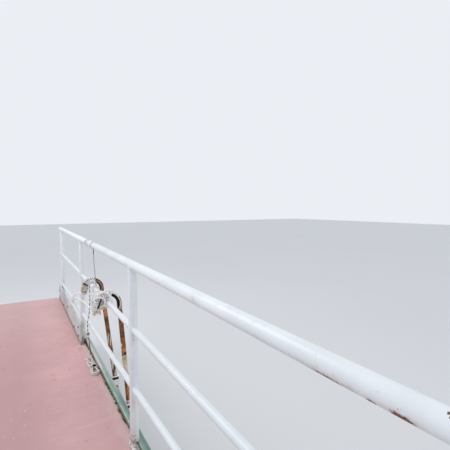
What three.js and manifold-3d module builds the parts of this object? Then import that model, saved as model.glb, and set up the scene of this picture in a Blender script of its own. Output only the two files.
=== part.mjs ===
// Side-deck section of a steel houseboat: red deck, edge coaming, rubbing strake, three-bar tubular
// guard rail, and a rusty boarding ladder hooked over the middle bar and lashed there with rope.
// Millimetres. +X is outboard, +Y runs forward along the boat, +Z is up.
// The origin is on the inboard web that joins the section to the rest of the boat.

import * as THREE from 'three';
import { mergeVertices } from 'three/addons/utils/BufferGeometryUtils.js';
import Module from 'manifold-3d';

const wasm = await Module();
wasm.setup();

// Running gap between pieces that touch
const GAP = 0.35;

// The section
const LENGTH = 5600;
const HALF = LENGTH / 2;
const DECK_ABOVE_ORIGIN = 110;
const DECK_THICK = 6;

// Inboard web
const WEB_THICK = 8;
const WEB_DEPTH = 200;

// Hull side, coaming and rubbing strake
const COAMING_X = 914;
const COAMING_WIDE = 20;
const COAMING_TALL = 35;
const SIDE_X = 926;
const SIDE_THICK = 8;
const SIDE_DEPTH = 690;
const STRAKE_WIDE = 39.5;
const STRAKE_TALL = 62;
const STRAKE_TOP = -4;
const STRAKE_ROUND = 14;

// Deck frames: a beam under the deck, a knee and a frame down the side
const FRAME_PITCH = 862.5;
const FRAME_COUNT = 7;
const FRAME_THICK = 8;
const BEAM_DEPTH = 92;
const SIDE_FRAME_WIDE = 80;
const KNEE_RADIUS = 120;

// Guard rail
const RAIL_X = 900;
const POST_PITCH = 1725;
const POST_COUNT = 4;
const PIPE_R = 24.15;
const BAR_R = 16.85;
const TOP_Z = 1009;
const MID_Z = 658;
const LOW_Z = 301;
const LOW_SLOPE = -0.0286;
const LOW_LEVEL_Y = 3.5;
const SLEEVE_Y = 452.5;
const SLEEVE_LONG = 64;
const SLEEVE_R = 29.5;
const FOOT = { inboard: 23.5, long: 96, thick: 6 };

// Toe board at the forward end, bolted to the inboard side of the posts
const BOARD = { thick: 18, tall: 204, from: 770, to: 2700, lift: 2 };

// Boarding ladder, in its own frame on the middle bar's axis, turned so that its foot stands out
const LADDER_LEAN = THREE.MathUtils.degToRad(4.4);
const HOOK_TIP = 36;
const LEG_LONG = 1440;
const RUNGS = [-890, -1140, -1390];
const RUNG_R = 13.5;
const PAD = { long: 44, tall: 80, top: -113, reach: 153 };

// Each stringer: its place along the bar, how far out its leg starts, its hook's radius and how far the
// hook's centre lies below the bar's. The far one is bent, so its leg splays a little further out.
const STRINGERS = {
  near: { y: -237.5, out: 79.5, hook: 77, drop: 20, splay: 0 },
  far: { y: 232.5, out: 55, hook: 68, drop: -1, splay: THREE.MathUtils.degToRad(2.55) },
};

// Rope turns wound round the bars: which bar, outer radius, and where along the boat
const TURNS = {
  rail_lashing_main: { bar: 'mid', outer: 31, from: -160, to: -36 },
  cord_hitch: { bar: 'mid', outer: 22.5, from: 450, to: 478 },
  lanyard_hitch: { bar: 'top', outer: 28, from: 240, to: 259 },
  guy_hitch: { bar: 'low', outer: 25, from: 1498, to: 1562 },
};

// Rope that ties each hook to the bar, in the ladder's frame: turns along the hook between two angles, down
// to a little below its centre, and lumps of rope as half sizes round a centre
const HOOK_LASHINGS = {
  near: {
    turns: { radius: 30, from: 68, to: 180, below: 22 },
    lumps: [{ centre: [-36, 22, 8], half: [48, 48, 44] }, { centre: [-76, 14, -58], half: [28, 32, 42] }],
  },
  far: {
    turns: { radius: 27, from: 74, to: 180, below: 26 },
    lumps: [{ centre: [-44, 0, 6], half: [46, 25, 28] }],
  },
};

const CORD_STEPS = 80;

// Free ropes and cords: radius and route, in millimetres above the deck
const CORDS = {
  guy_rope: {
    radius: 6,
    route: [[877.5, -35.5, 666.5], [876, -24, 666.5], [873, 6, 661], [873, 60, 647], [874, 154, 624],
      [874, 232, 605], [871, 340, 585], [867, 549, 546], [866, 785, 501], [866, 950, 464],
      [868, 1150, 404], [871, 1340, 332], [875, 1440, 283], [876.2, 1480, 265], [876.4, 1497, 261]],
  },
  slack_rope: {
    radius: 7,
    route: [[882, -80, 628.6], [878, -79, 612], [872, -72, 590], [867, -45, 562], [866, 20, 532],
      [866, 110, 512], [866, 212, 500], [866, 376, 487], [866, 558, 469], [866, 793, 441],
      [866, 943, 421], [868, 1150, 366], [869, 1350, 292], [876, 1450, 252], [881.5, 1485, 243.5],
      [882, 1496.6, 242]],
  },
  lanyard: {
    radius: 3.5,
    route: [[900, 249.5, 980.6], [900, 249, 962], [898, 238, 925], [896, 216, 880], [896, 197, 832],
      [897, 183, 782], [898, 172, 735], [900, 164, 705], [900, 163, 689]],
  },
  tie_strap: {
    radius: 6,
    route: [[852, -268.6, 687], [851.8, -272, 686], [849.5, -275.4, 681], [845, -276.6, 672],
      [840, -276.6, 661], [834, -276.4, 644], [828, -276, 628]],
  },
  hanging_cord: {
    radius: 4.5,
    route: [[900, 464, 635], [900, 464, 610], [900, 464, 540], [898, 464, 450], [888, 464, 360],
      [877, 464, 310], [877, 464, 266], [881, 464, 190], [888, 463, 120], [895, 462, 60],
      [897, 458, 26], [895, 449, 10], [890, 434, 6], [884, 420, 7], [877, 406, 10]],
  },
};

// A bundle of cord on the deck
const BUNDLE = { x: 871, from: 70, to: 405, half: 31, tall: 30 };

const colour = (hex, roughness, metalness) =>
  new THREE.MeshStandardMaterial({ color: hex, roughness, metalness });

const DECK_RED = colour(0xb0767c, 0.8, 0);
const RAIL_WHITE = colour(0xe4e6ea, 0.45, 0.1);
const EDGE_GREEN = colour(0x5f8f80, 0.6, 0.1);
const HULL_GREY = colour(0x9aa3a6, 0.6, 0.1);
const RUST = colour(0x7a4526, 0.9, 0.2);
const COLLAR_PALE = colour(0xe3d9dc, 0.6, 0.1);
const BOARD_GREY = colour(0xb9bcbc, 0.7, 0);
const PAD_WHITE = colour(0xd8dad2, 0.7, 0);
const ROPE = colour(0xd9d2bf, 0.95, 0);
const ROPE_DARK = colour(0x6b675c, 0.95, 0);

// A closed geometry as a solid, and back again
function solid(geometry) {
  const bare = geometry.clone();
  bare.deleteAttribute('normal');
  bare.deleteAttribute('uv');
  const merged = mergeVertices(bare, 1e-3);
  return new wasm.Manifold(new wasm.Mesh({
    numProp: 3,
    vertProperties: new Float32Array(merged.attributes.position.array),
    triVerts: new Uint32Array(merged.index.array),
  }));
}

function geometryOf(body) {
  const mesh = body.getMesh();
  const geometry = new THREE.BufferGeometry();
  geometry.setAttribute('position', new THREE.BufferAttribute(new Float32Array(mesh.vertProperties), 3));
  geometry.setIndex(new THREE.BufferAttribute(new Uint32Array(mesh.triVerts), 1));
  return geometry;
}

// A block between two corners
function block(low, high) {
  const size = high.map((value, i) => value - low[i]);
  return new THREE.BoxGeometry(...size).translate(...low.map((value, i) => value + size[i] / 2));
}

// An outline in X and Z, drawn as a shape, carried along Y
function along(shape, from, to, curveSegments = 8) {
  const geometry = new THREE.ExtrudeGeometry(shape, { depth: to - from, bevelEnabled: false, curveSegments });
  return geometry.rotateX(Math.PI / 2).translate(0, to, 0);
}

// A round bar along Y, on the Y axis
function barY(radius, from, to, sides = 24) {
  return new THREE.CylinderGeometry(radius, radius, to - from, sides).translate(0, (from + to) / 2, 0);
}

// A round bar between two points
function barBetween(radius, start, end, sides = 16) {
  const a = new THREE.Vector3(...start);
  const b = new THREE.Vector3(...end);
  const bar = new THREE.CylinderGeometry(radius, radius, a.distanceTo(b), sides);
  const way = b.clone().sub(a).normalize();
  const turn = new THREE.Quaternion().setFromUnitVectors(new THREE.Vector3(0, 1, 0), way);
  return bar.applyQuaternion(turn).translate(...a.add(b).multiplyScalar(0.5).toArray());
}

// A ring around the Y axis with rounded shoulders
function ringY(inner, outer, from, to, round, sides = 24) {
  const profile = [[inner, from], [outer - round, from], [outer, from + round], [outer, to - round],
    [outer - round, to], [inner, to], [inner, from]];
  return new THREE.LatheGeometry(profile.map(([r, y]) => new THREE.Vector2(r, y)), sides);
}

// A round cord along a list of points
function cord(radius, points, steps, sides = 8) {
  const section = new THREE.Shape();
  section.absarc(0, 0, radius, 0, 2 * Math.PI, false);
  const path = new THREE.CatmullRomCurve3(points.map((p) => new THREE.Vector3(...p)), false, 'centripetal');
  return new THREE.ExtrudeGeometry(section, { steps, extrudePath: path, curveSegments: sides / 2 });
}

const section = new THREE.Group();
const onDeck = new THREE.Group();
onDeck.position.z = DECK_ABOVE_ORIGIN;
section.add(onDeck);
const ladder = new THREE.Group();
ladder.position.set(RAIL_X, 0, MID_Z);
ladder.rotation.y = -LADDER_LEAN;
onDeck.add(ladder);

function place(parent, name, shape, material, at = [0, 0, 0]) {
  const mesh = new THREE.Mesh(shape.isBufferGeometry ? shape : geometryOf(shape), material);
  mesh.name = name;
  mesh.position.set(...at);
  parent.add(mesh);
  return mesh;
}

// Deck, inboard web, hull side, coaming and strake
function addEdge() {
  const under = -DECK_THICK - GAP;
  const plates = [
    ['deck_plate', DECK_RED, [0, COAMING_X - GAP], [-DECK_THICK, 0]],
    ['inboard_web', HULL_GREY, [0, WEB_THICK], [under - WEB_DEPTH, under]],
    ['edge_coaming', EDGE_GREEN, [COAMING_X, COAMING_X + COAMING_WIDE], [-DECK_THICK, COAMING_TALL]],
    ['hull_side_plate', HULL_GREY, [SIDE_X, SIDE_X + SIDE_THICK], [-SIDE_DEPTH, under]],
  ];
  for (const [name, material, x, z] of plates) {
    place(onDeck, name, block([x[0], -HALF, z[0]], [x[1], HALF, z[1]]), material);
  }
  const left = COAMING_X + COAMING_WIDE + GAP;
  const right = left + STRAKE_WIDE;
  const low = STRAKE_TOP - STRAKE_TALL;
  const outline = new THREE.Shape();
  outline.moveTo(left, low);
  outline.lineTo(right - STRAKE_ROUND, low);
  outline.absarc(right - STRAKE_ROUND, low + STRAKE_ROUND, STRAKE_ROUND, -Math.PI / 2, 0, false);
  outline.lineTo(right, STRAKE_TOP - STRAKE_ROUND);
  outline.absarc(right - STRAKE_ROUND, STRAKE_TOP - STRAKE_ROUND, STRAKE_ROUND, 0, Math.PI / 2, false);
  outline.lineTo(left, STRAKE_TOP);
  place(onDeck, 'rubbing_strake', along(outline, -HALF, HALF, 6), HULL_GREY);
}

// One plate per frame: beam, knee and side frame in one outline
function addFrames() {
  const top = -DECK_THICK - GAP;
  const outer = SIDE_X - GAP;
  const inner = outer - SIDE_FRAME_WIDE;
  const outline = new THREE.Shape();
  outline.moveTo(WEB_THICK + GAP, top);
  outline.lineTo(WEB_THICK + GAP, top - BEAM_DEPTH);
  outline.lineTo(inner - KNEE_RADIUS, top - BEAM_DEPTH);
  outline.absarc(inner - KNEE_RADIUS, top - BEAM_DEPTH - KNEE_RADIUS, KNEE_RADIUS, Math.PI / 2, 0, true);
  outline.lineTo(inner, -SIDE_DEPTH);
  outline.lineTo(outer, -SIDE_DEPTH);
  outline.lineTo(outer, top);
  for (let i = 0; i < FRAME_COUNT; i += 1) {
    const y = (i - (FRAME_COUNT - 1) / 2) * FRAME_PITCH;
    const plate = along(outline, -FRAME_THICK / 2, FRAME_THICK / 2, 6);
    place(onDeck, `deck_frame_${i + 1}`, plate, HULL_GREY, [0, y, 0]);
  }
}

// The lowest bar falls a little towards the bow
const lowBarAt = (y) => LOW_Z + LOW_SLOPE * (y - LOW_LEVEL_Y);

function lowBar(radius) {
  const bar = barY(radius, -HALF, HALF);
  return bar.rotateX(Math.atan(LOW_SLOPE)).translate(RAIL_X, 0, lowBarAt(0));
}

// Posts are saddle-cut under the top pipe and notched over the coaming, and the two lower bars pass
// through them
function addRail() {
  const topBore = solid(barY(PIPE_R + GAP, -HALF - 5, HALF + 5, 32).translate(RAIL_X, 0, TOP_Z));
  const midBore = solid(barY(BAR_R + GAP, -HALF - 5, HALF + 5).translate(RAIL_X, 0, MID_Z));
  const lowBore = solid(lowBar(BAR_R + GAP));
  const notchLow = [COAMING_X - GAP, -HALF - 5, -DECK_THICK];
  const notchHigh = [COAMING_X + COAMING_WIDE + GAP, HALF + 5, COAMING_TALL + GAP];
  const bores = topBore.add(midBore).add(lowBore).add(solid(block(notchLow, notchHigh)));
  for (let i = 0; i < POST_COUNT; i += 1) {
    const y = (i - (POST_COUNT - 1) / 2) * POST_PITCH;
    const base = FOOT.thick + 2 * GAP;
    const tall = TOP_Z - base;
    const pipe = new THREE.CylinderGeometry(PIPE_R, PIPE_R, tall, 24).rotateX(Math.PI / 2);
    pipe.translate(RAIL_X, y, base + tall / 2);
    place(onDeck, `rail_post_${i + 1}`, solid(pipe).subtract(bores), RAIL_WHITE);
    const low = [RAIL_X - FOOT.inboard, y - FOOT.long / 2, GAP];
    const high = [COAMING_X - GAP, y + FOOT.long / 2, GAP + FOOT.thick];
    place(onDeck, `post_foot_${i + 1}`, block(low, high), RAIL_WHITE);
  }
  place(onDeck, 'top_rail_aft', barY(PIPE_R, -HALF, SLEEVE_Y - GAP, 32), RAIL_WHITE, [RAIL_X, 0, TOP_Z]);
  place(onDeck, 'top_rail_forward', barY(PIPE_R, SLEEVE_Y + GAP, HALF, 32), RAIL_WHITE, [RAIL_X, 0, TOP_Z]);
  const sleeve = ringY(PIPE_R + GAP, SLEEVE_R, -SLEEVE_LONG / 2, SLEEVE_LONG / 2, 2, 32);
  place(onDeck, 'top_rail_sleeve', sleeve, COLLAR_PALE, [RAIL_X, SLEEVE_Y, TOP_Z]);
  place(onDeck, 'mid_rail', barY(BAR_R, -HALF, HALF), RAIL_WHITE, [RAIL_X, 0, MID_Z]);
  place(onDeck, 'lower_rail', lowBar(BAR_R), RAIL_WHITE);
  const face = RAIL_X - PIPE_R - GAP;
  const boardTop = BOARD.lift + BOARD.tall;
  const board = block([face - BOARD.thick, BOARD.from, BOARD.lift], [face, BOARD.to, boardTop]);
  place(onDeck, 'toe_board', board, BOARD_GREY);
}

// A point on a hook's centre line, by its angle from the leg
function onHook({ out, hook, drop }, degrees) {
  const angle = THREE.MathUtils.degToRad(degrees);
  return new THREE.Vector3(out - hook + hook * Math.cos(angle), 0, hook * Math.sin(angle) - drop);
}

// How far out a stringer's leg lies at a height
const legAt = ({ out, drop, splay }, z) => out + Math.tan(splay) * (-drop - z);

// A stringer with its cane-shaped hook, at its place along the bar
function stringer(radius, shape) {
  const ring = new THREE.Shape();
  ring.absarc(0, 0, radius, 0, 2 * Math.PI, false);
  const bend = new THREE.CurvePath();
  const turns = 16;
  const point = (i) => onHook(shape, 180 * i / turns);
  for (let i = 0; i < turns; i += 1) bend.add(new THREE.LineCurve3(point(i), point(i + 1)));
  const hook = new THREE.ExtrudeGeometry(ring, { steps: turns, extrudePath: bend, curveSegments: 8 });
  const start = 0.5 - shape.drop;
  const leg = barBetween(radius, [shape.out, 0, start], [legAt(shape, -LEG_LONG), 0, -LEG_LONG]);
  const inner = shape.out - 2 * shape.hook;
  const tip = barBetween(radius, [inner, 0, start], [inner, 0, -shape.drop - HOOK_TIP]);
  return solid(hook).add(solid(leg)).add(solid(tip)).translate([0, shape.y, 0]);
}

function addLadder() {
  const { near, far } = STRINGERS;
  const sides = stringer(BAR_R + GAP, near).add(stringer(BAR_R + GAP, far));
  for (const [side, shape] of Object.entries(STRINGERS)) {
    place(ladder, `ladder_stringer_${side}`, stringer(BAR_R, shape), RUST);
  }
  RUNGS.forEach((z, i) => {
    const rung = solid(barBetween(RUNG_R, [legAt(near, z), near.y, z], [legAt(far, z), far.y, z]));
    place(ladder, `ladder_rung_${i + 1}`, rung.subtract(sides), RUST);
  });
  // Stand-off pads reach under the strake to the hull side, upright although the ladder leans
  const hullFace = SIDE_X + SIDE_THICK + 2 * GAP - RAIL_X;
  for (const [side, shape] of Object.entries(STRINGERS)) {
    const low = [hullFace, shape.y - PAD.long / 2, PAD.top - PAD.tall - MID_Z];
    const high = [hullFace + PAD.reach, shape.y + PAD.long / 2, PAD.top - MID_Z];
    const pad = solid(block(low, high).rotateY(LADDER_LEAN));
    place(ladder, `standoff_pad_${side}`, pad.subtract(sides), PAD_WHITE);
  }
}

// Rope turns round the bars, and the rope that ties the hooks
function addLashings() {
  const bars = {
    mid: { radius: BAR_R, z: () => MID_Z, slope: 0 },
    top: { radius: PIPE_R, z: () => TOP_Z, slope: 0 },
    low: { radius: BAR_R, z: lowBarAt, slope: LOW_SLOPE },
  };
  for (const [name, turn] of Object.entries(TURNS)) {
    const bar = bars[turn.bar];
    const middle = (turn.from + turn.to) / 2;
    const half = (turn.to - turn.from) / 2;
    const round = Math.min(5, (turn.outer - bar.radius - GAP) / 2);
    const ring = ringY(bar.radius + GAP, turn.outer, -half, half, round).rotateX(Math.atan(bar.slope));
    place(onDeck, name, ring, ROPE, [RAIL_X, middle, bar.z(middle)]);
  }
  for (const [side, { turns, lumps }] of Object.entries(HOOK_LASHINGS)) {
    const shape = STRINGERS[side];
    const route = [];
    for (let i = 0; i <= 10; i += 1) route.push(onHook(shape, turns.from + (turns.to - turns.from) * i / 10));
    route.push(route[10].clone().setZ(route[10].z - turns.below));
    let tied = solid(cord(turns.radius, route.map((p) => p.toArray()), 12, 16));
    for (const { centre, half } of lumps) {
      tied = tied.add(solid(new THREE.SphereGeometry(1, 20, 12).scale(...half).translate(...centre)));
    }
    const bar = solid(barY(BAR_R + GAP, shape.y - 80, shape.y + 80));
    const bores = bar.add(stringer(BAR_R + GAP, shape));
    place(ladder, `hook_lashing_${side}`, tied.translate([0, shape.y, 0]).subtract(bores), ROPE);
  }
}

function addCords() {
  for (const [name, { radius, route }] of Object.entries(CORDS)) {
    const points = route.map((p) => new THREE.Vector3(...p));
    const long = points.slice(1).reduce((sum, point, i) => sum + point.distanceTo(points[i]), 0);
    const steps = Math.min(CORD_STEPS, Math.ceil(long / (radius * 5)));
    place(onDeck, name, cord(radius, route, steps), name === 'hanging_cord' ? ROPE_DARK : ROPE);
  }
  const bundle = new THREE.Shape();
  const reach = (BUNDLE.to - BUNDLE.from) / 2 - BUNDLE.half;
  bundle.absarc(0, -reach, BUNDLE.half, Math.PI, 0, false);
  bundle.absarc(0, reach, BUNDLE.half, 0, Math.PI, false);
  const flat = { depth: BUNDLE.tall, bevelEnabled: false, curveSegments: 8 };
  const slab = new THREE.ExtrudeGeometry(bundle, flat);
  place(onDeck, 'cord_bundle', slab, ROPE, [BUNDLE.x, (BUNDLE.from + BUNDLE.to) / 2, GAP]);
}

addEdge();
addFrames();
addRail();
addLadder();
addLashings();
addCords();

export default section;
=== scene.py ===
"""Side deck of a steel houseboat: worn red deck, green coaming, white tubular guard rail,
a rusty boarding ladder hooked over the middle bar, and the ropes that tie it there.
Metres. +X is outboard, +Y forward along the boat, +Z up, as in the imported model."""

import math
import random

import bmesh
import bpy
from bpy.props import FloatProperty, FloatVectorProperty, IntProperty, PointerProperty
from mathutils import Matrix, Vector


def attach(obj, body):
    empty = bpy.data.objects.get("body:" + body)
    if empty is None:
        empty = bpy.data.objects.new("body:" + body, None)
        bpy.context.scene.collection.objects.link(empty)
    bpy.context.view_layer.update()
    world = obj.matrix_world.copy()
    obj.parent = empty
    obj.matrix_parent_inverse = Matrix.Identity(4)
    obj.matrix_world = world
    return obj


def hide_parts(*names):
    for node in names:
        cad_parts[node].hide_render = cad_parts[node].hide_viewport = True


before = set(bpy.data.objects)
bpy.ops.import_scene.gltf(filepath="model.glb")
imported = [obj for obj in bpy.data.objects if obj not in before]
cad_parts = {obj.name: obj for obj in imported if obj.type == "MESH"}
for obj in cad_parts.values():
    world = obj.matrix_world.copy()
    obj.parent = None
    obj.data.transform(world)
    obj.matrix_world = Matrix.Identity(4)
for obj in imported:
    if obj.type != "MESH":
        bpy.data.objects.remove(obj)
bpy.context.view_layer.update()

bl_info = {
    "name": "Houseboat side deck",
    "version": (1, 0, 0),
    "blender": (4, 5, 0),
    "location": "View3D > Sidebar > Side deck",
    "description": "Dresses a houseboat's side deck with its guard rail, boarding ladder and ropes",
    "category": "Object",
}

# Heights and places that every piece shares: the deck's top, half the length along the boat, the plane and
# heights of the rails, the posts and the collar along the boat, the coaming's faces and top, the strake's
# width, how far a hook's tip and a leg reach, and the rungs' heights in the ladder's frame
DECK = 0.110
HALF = 2.8
RAIL_X = 0.900
TOP_Z = DECK + 1.009
MID_Z = DECK + 0.658
LOW_Z = DECK + 0.301
LOW_SLOPE = -0.0286
LOW_LEVEL_Y = 0.0035
POSTS_Y = (-2.5875, -0.8625, 0.8625, 2.5875)
SLEEVE_Y = 0.4525
COAMING_IN, COAMING_OUT = 0.914, 0.934
COAMING_TOP = DECK + 0.035
STRAKE_WIDE = 0.0395
HOOK_TIP = 0.036
LEG_LONG = 1.440
RUNGS = (-0.890, -1.140, -1.390)
FOOT_TOP = DECK + 0.0064
FLOOR_Z = -0.70
ON_LADDER = Matrix.Translation((RAIL_X, 0, MID_Z)) @ Matrix.Rotation(math.radians(-4.4), 4, "Y")

# The camera: its place over the deck, and how many degrees it looks down and to the right
EYE_PLACE = (0.382, -2.6775)
EYE_DOWN, EYE_RIGHT = 2.98, 31.3

# Each stringer in the ladder's frame: its place along the bar, how far out its leg starts, its hook's
# radius, how far the hook's centre lies below the bar's, and how far its leg splays
STRINGERS = {
    "near": {"y": -0.2375, "out": 0.0795, "hook": 0.077, "drop": 0.020, "splay": 0.0},
    "far": {"y": 0.2325, "out": 0.055, "hook": 0.068, "drop": -0.001, "splay": math.tan(math.radians(2.55))},
}


def top_rail_z(y):
    """Height of the top rail's axis, the same all along."""
    return TOP_Z


def mid_bar_z(y):
    """Height of the middle bar's axis, the same all along."""
    return MID_Z


def low_bar_z(y):
    """Height of the lower bar's axis, which falls a little towards the bow."""
    return LOW_Z + LOW_SLOPE * (y - LOW_LEVEL_Y)


def leg_at(side, z):
    """How far out a stringer's leg lies at a height in the ladder's frame."""
    shape = STRINGERS[side]
    return shape["out"] - shape["splay"] * (shape["drop"] + z)


def on_hook(side, degrees, outside=0.0, beside=0.0):
    """A point by its angle on a hook's centre line, moved outside the bend and beside the hook."""
    shape = STRINGERS[side]
    angle, reach = math.radians(degrees), shape["hook"] + outside
    return Vector((shape["out"] - shape["hook"] + reach * math.cos(angle), shape["y"] + beside,
                   reach * math.sin(angle) - shape["drop"]))


# Free ropes and cords: radius, and route in metres above the deck
CORDS = {
    "guy_rope": (0.006, [
        (0.8775, -0.0355, 0.6665), (0.876, -0.024, 0.6665), (0.873, 0.006, 0.661), (0.873, 0.060, 0.647),
        (0.874, 0.154, 0.624), (0.874, 0.232, 0.605), (0.871, 0.340, 0.585), (0.867, 0.549, 0.546),
        (0.866, 0.785, 0.501), (0.866, 0.950, 0.464), (0.868, 1.150, 0.404), (0.871, 1.340, 0.332),
        (0.875, 1.440, 0.283), (0.8762, 1.480, 0.265), (0.8764, 1.497, 0.261)]),
    "slack_rope": (0.007, [
        (0.882, -0.080, 0.6286), (0.878, -0.079, 0.612), (0.872, -0.072, 0.590), (0.867, -0.045, 0.562),
        (0.866, 0.020, 0.532), (0.866, 0.110, 0.512), (0.866, 0.212, 0.500), (0.866, 0.376, 0.487),
        (0.866, 0.558, 0.469), (0.866, 0.793, 0.441), (0.866, 0.943, 0.421), (0.868, 1.150, 0.366),
        (0.869, 1.350, 0.292), (0.876, 1.450, 0.252), (0.8815, 1.485, 0.2435), (0.882, 1.4966, 0.242)]),
    "lanyard": (0.0035, [
        (0.900, 0.2495, 0.9806), (0.900, 0.249, 0.962), (0.898, 0.238, 0.925), (0.896, 0.216, 0.880),
        (0.896, 0.197, 0.832), (0.897, 0.183, 0.782), (0.898, 0.172, 0.735), (0.900, 0.164, 0.705),
        (0.900, 0.163, 0.689)]),
    "tie_strap": (0.0055, [
        (0.852, -0.2686, 0.687), (0.8518, -0.272, 0.686), (0.8495, -0.2754, 0.681), (0.845, -0.2766, 0.672),
        (0.840, -0.2766, 0.661), (0.834, -0.2764, 0.644), (0.828, -0.276, 0.628)]),
    "hanging_cord": (0.0045, [
        (0.900, 0.464, 0.635), (0.900, 0.464, 0.610), (0.900, 0.464, 0.540), (0.898, 0.464, 0.450),
        (0.888, 0.464, 0.360), (0.877, 0.464, 0.310), (0.877, 0.464, 0.266), (0.881, 0.464, 0.190),
        (0.888, 0.463, 0.120), (0.895, 0.462, 0.060), (0.897, 0.458, 0.026), (0.895, 0.449, 0.010),
        (0.890, 0.434, 0.006), (0.884, 0.420, 0.007), (0.877, 0.406, 0.010)]),
}

# How many diameters along the hanging cord its two strands turn once
TWISTED_LAY = 4.3

# The toe board's bolts, by their place along the boat and height above the deck
BOARD_BOLTS = ((0.8625, 0.064), (0.8625, 0.150), (1.169, 0.064), (1.74, 0.130), (2.10, 0.064),
               (2.5875, 0.064), (2.5875, 0.150))

# Height in the ladder's frame of the hole rusted through the near stringer
WALL_HOLE_Z = -0.395

# The larger scabs of rust at the coaming's foot, by their place along the boat and length
LARGE_SCABS = (
    (0.924, 0.050), (0.806, 0.044), (0.720, 0.030), (0.670, 0.056), (0.421, 0.020), (0.367, 0.024),
    (0.181, 0.022), (0.102, 0.028), (0.027, 0.034), (-0.116, 0.046), (-0.160, 0.030), (-0.182, 0.024),
    (-0.225, 0.026), (-0.261, 0.034), (-0.33, 0.020), (-0.392, 0.030), (-0.50, 0.018), (-0.619, 0.026))

# The larger chips of paint on the deck, and the places by the third post where several lie together
LARGE_CHIPS = ((0.594, -0.004), (0.385, -0.174), (0.309, -0.238), (0.861, -0.573), (0.896, -0.583))
CHIP_HEAPS = ((0.823, 0.943), (0.841, 0.873), (0.855, 0.770), (0.867, 0.744))

# Loose bights over each hook, from its stringer's place in the ladder's frame
BIGHTS = {
    "near": (
        ((-0.060, -0.006, 0.052), (-0.048, -0.022, 0.074), (-0.024, -0.028, 0.080), (-0.001, -0.027, 0.066),
         (0.012, -0.028, 0.046), (0.021, -0.030, 0.022), (0.0265, -0.034, 0.002), (0.0235, -0.042, -0.012),
         (0.013, -0.048, -0.021), (0.0, -0.048, -0.0245), (-0.013, -0.042, -0.021), (-0.026, -0.030, -0.010)),
        ((-0.020, 0.000, 0.052), (-0.040, 0.004, 0.082), (-0.062, 0.004, 0.089), (-0.084, 0.002, 0.072),
         (-0.099, 0.000, 0.046), (-0.103, 0.002, 0.016), (-0.094, 0.006, -0.012), (-0.076, 0.010, -0.020)),
        ((-0.080, -0.020, 0.040), (-0.062, -0.034, 0.050), (-0.036, -0.038, 0.042), (-0.022, -0.036, 0.018),
         (-0.030, -0.034, -0.008), (-0.052, -0.030, -0.018), (-0.076, -0.026, -0.006),
         (-0.086, -0.022, 0.020))),
    "far": (
        ((-0.030, -0.022, 0.052), (-0.020, -0.026, 0.070), (-0.006, -0.026, 0.070), (0.003, -0.026, 0.050),
         (0.012, -0.026, 0.030), (0.022, -0.026, 0.012), (0.0235, -0.028, -0.004), (0.014, -0.030, -0.018),
         (-0.004, -0.030, -0.0235), (-0.024, -0.026, -0.016)),
        ((-0.078, -0.012, 0.062), (-0.070, -0.022, 0.086), (-0.050, -0.026, 0.094), (-0.034, -0.022, 0.086),
         (-0.030, -0.024, 0.062), (-0.044, -0.026, 0.040))),
}


# Node finishes

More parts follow.
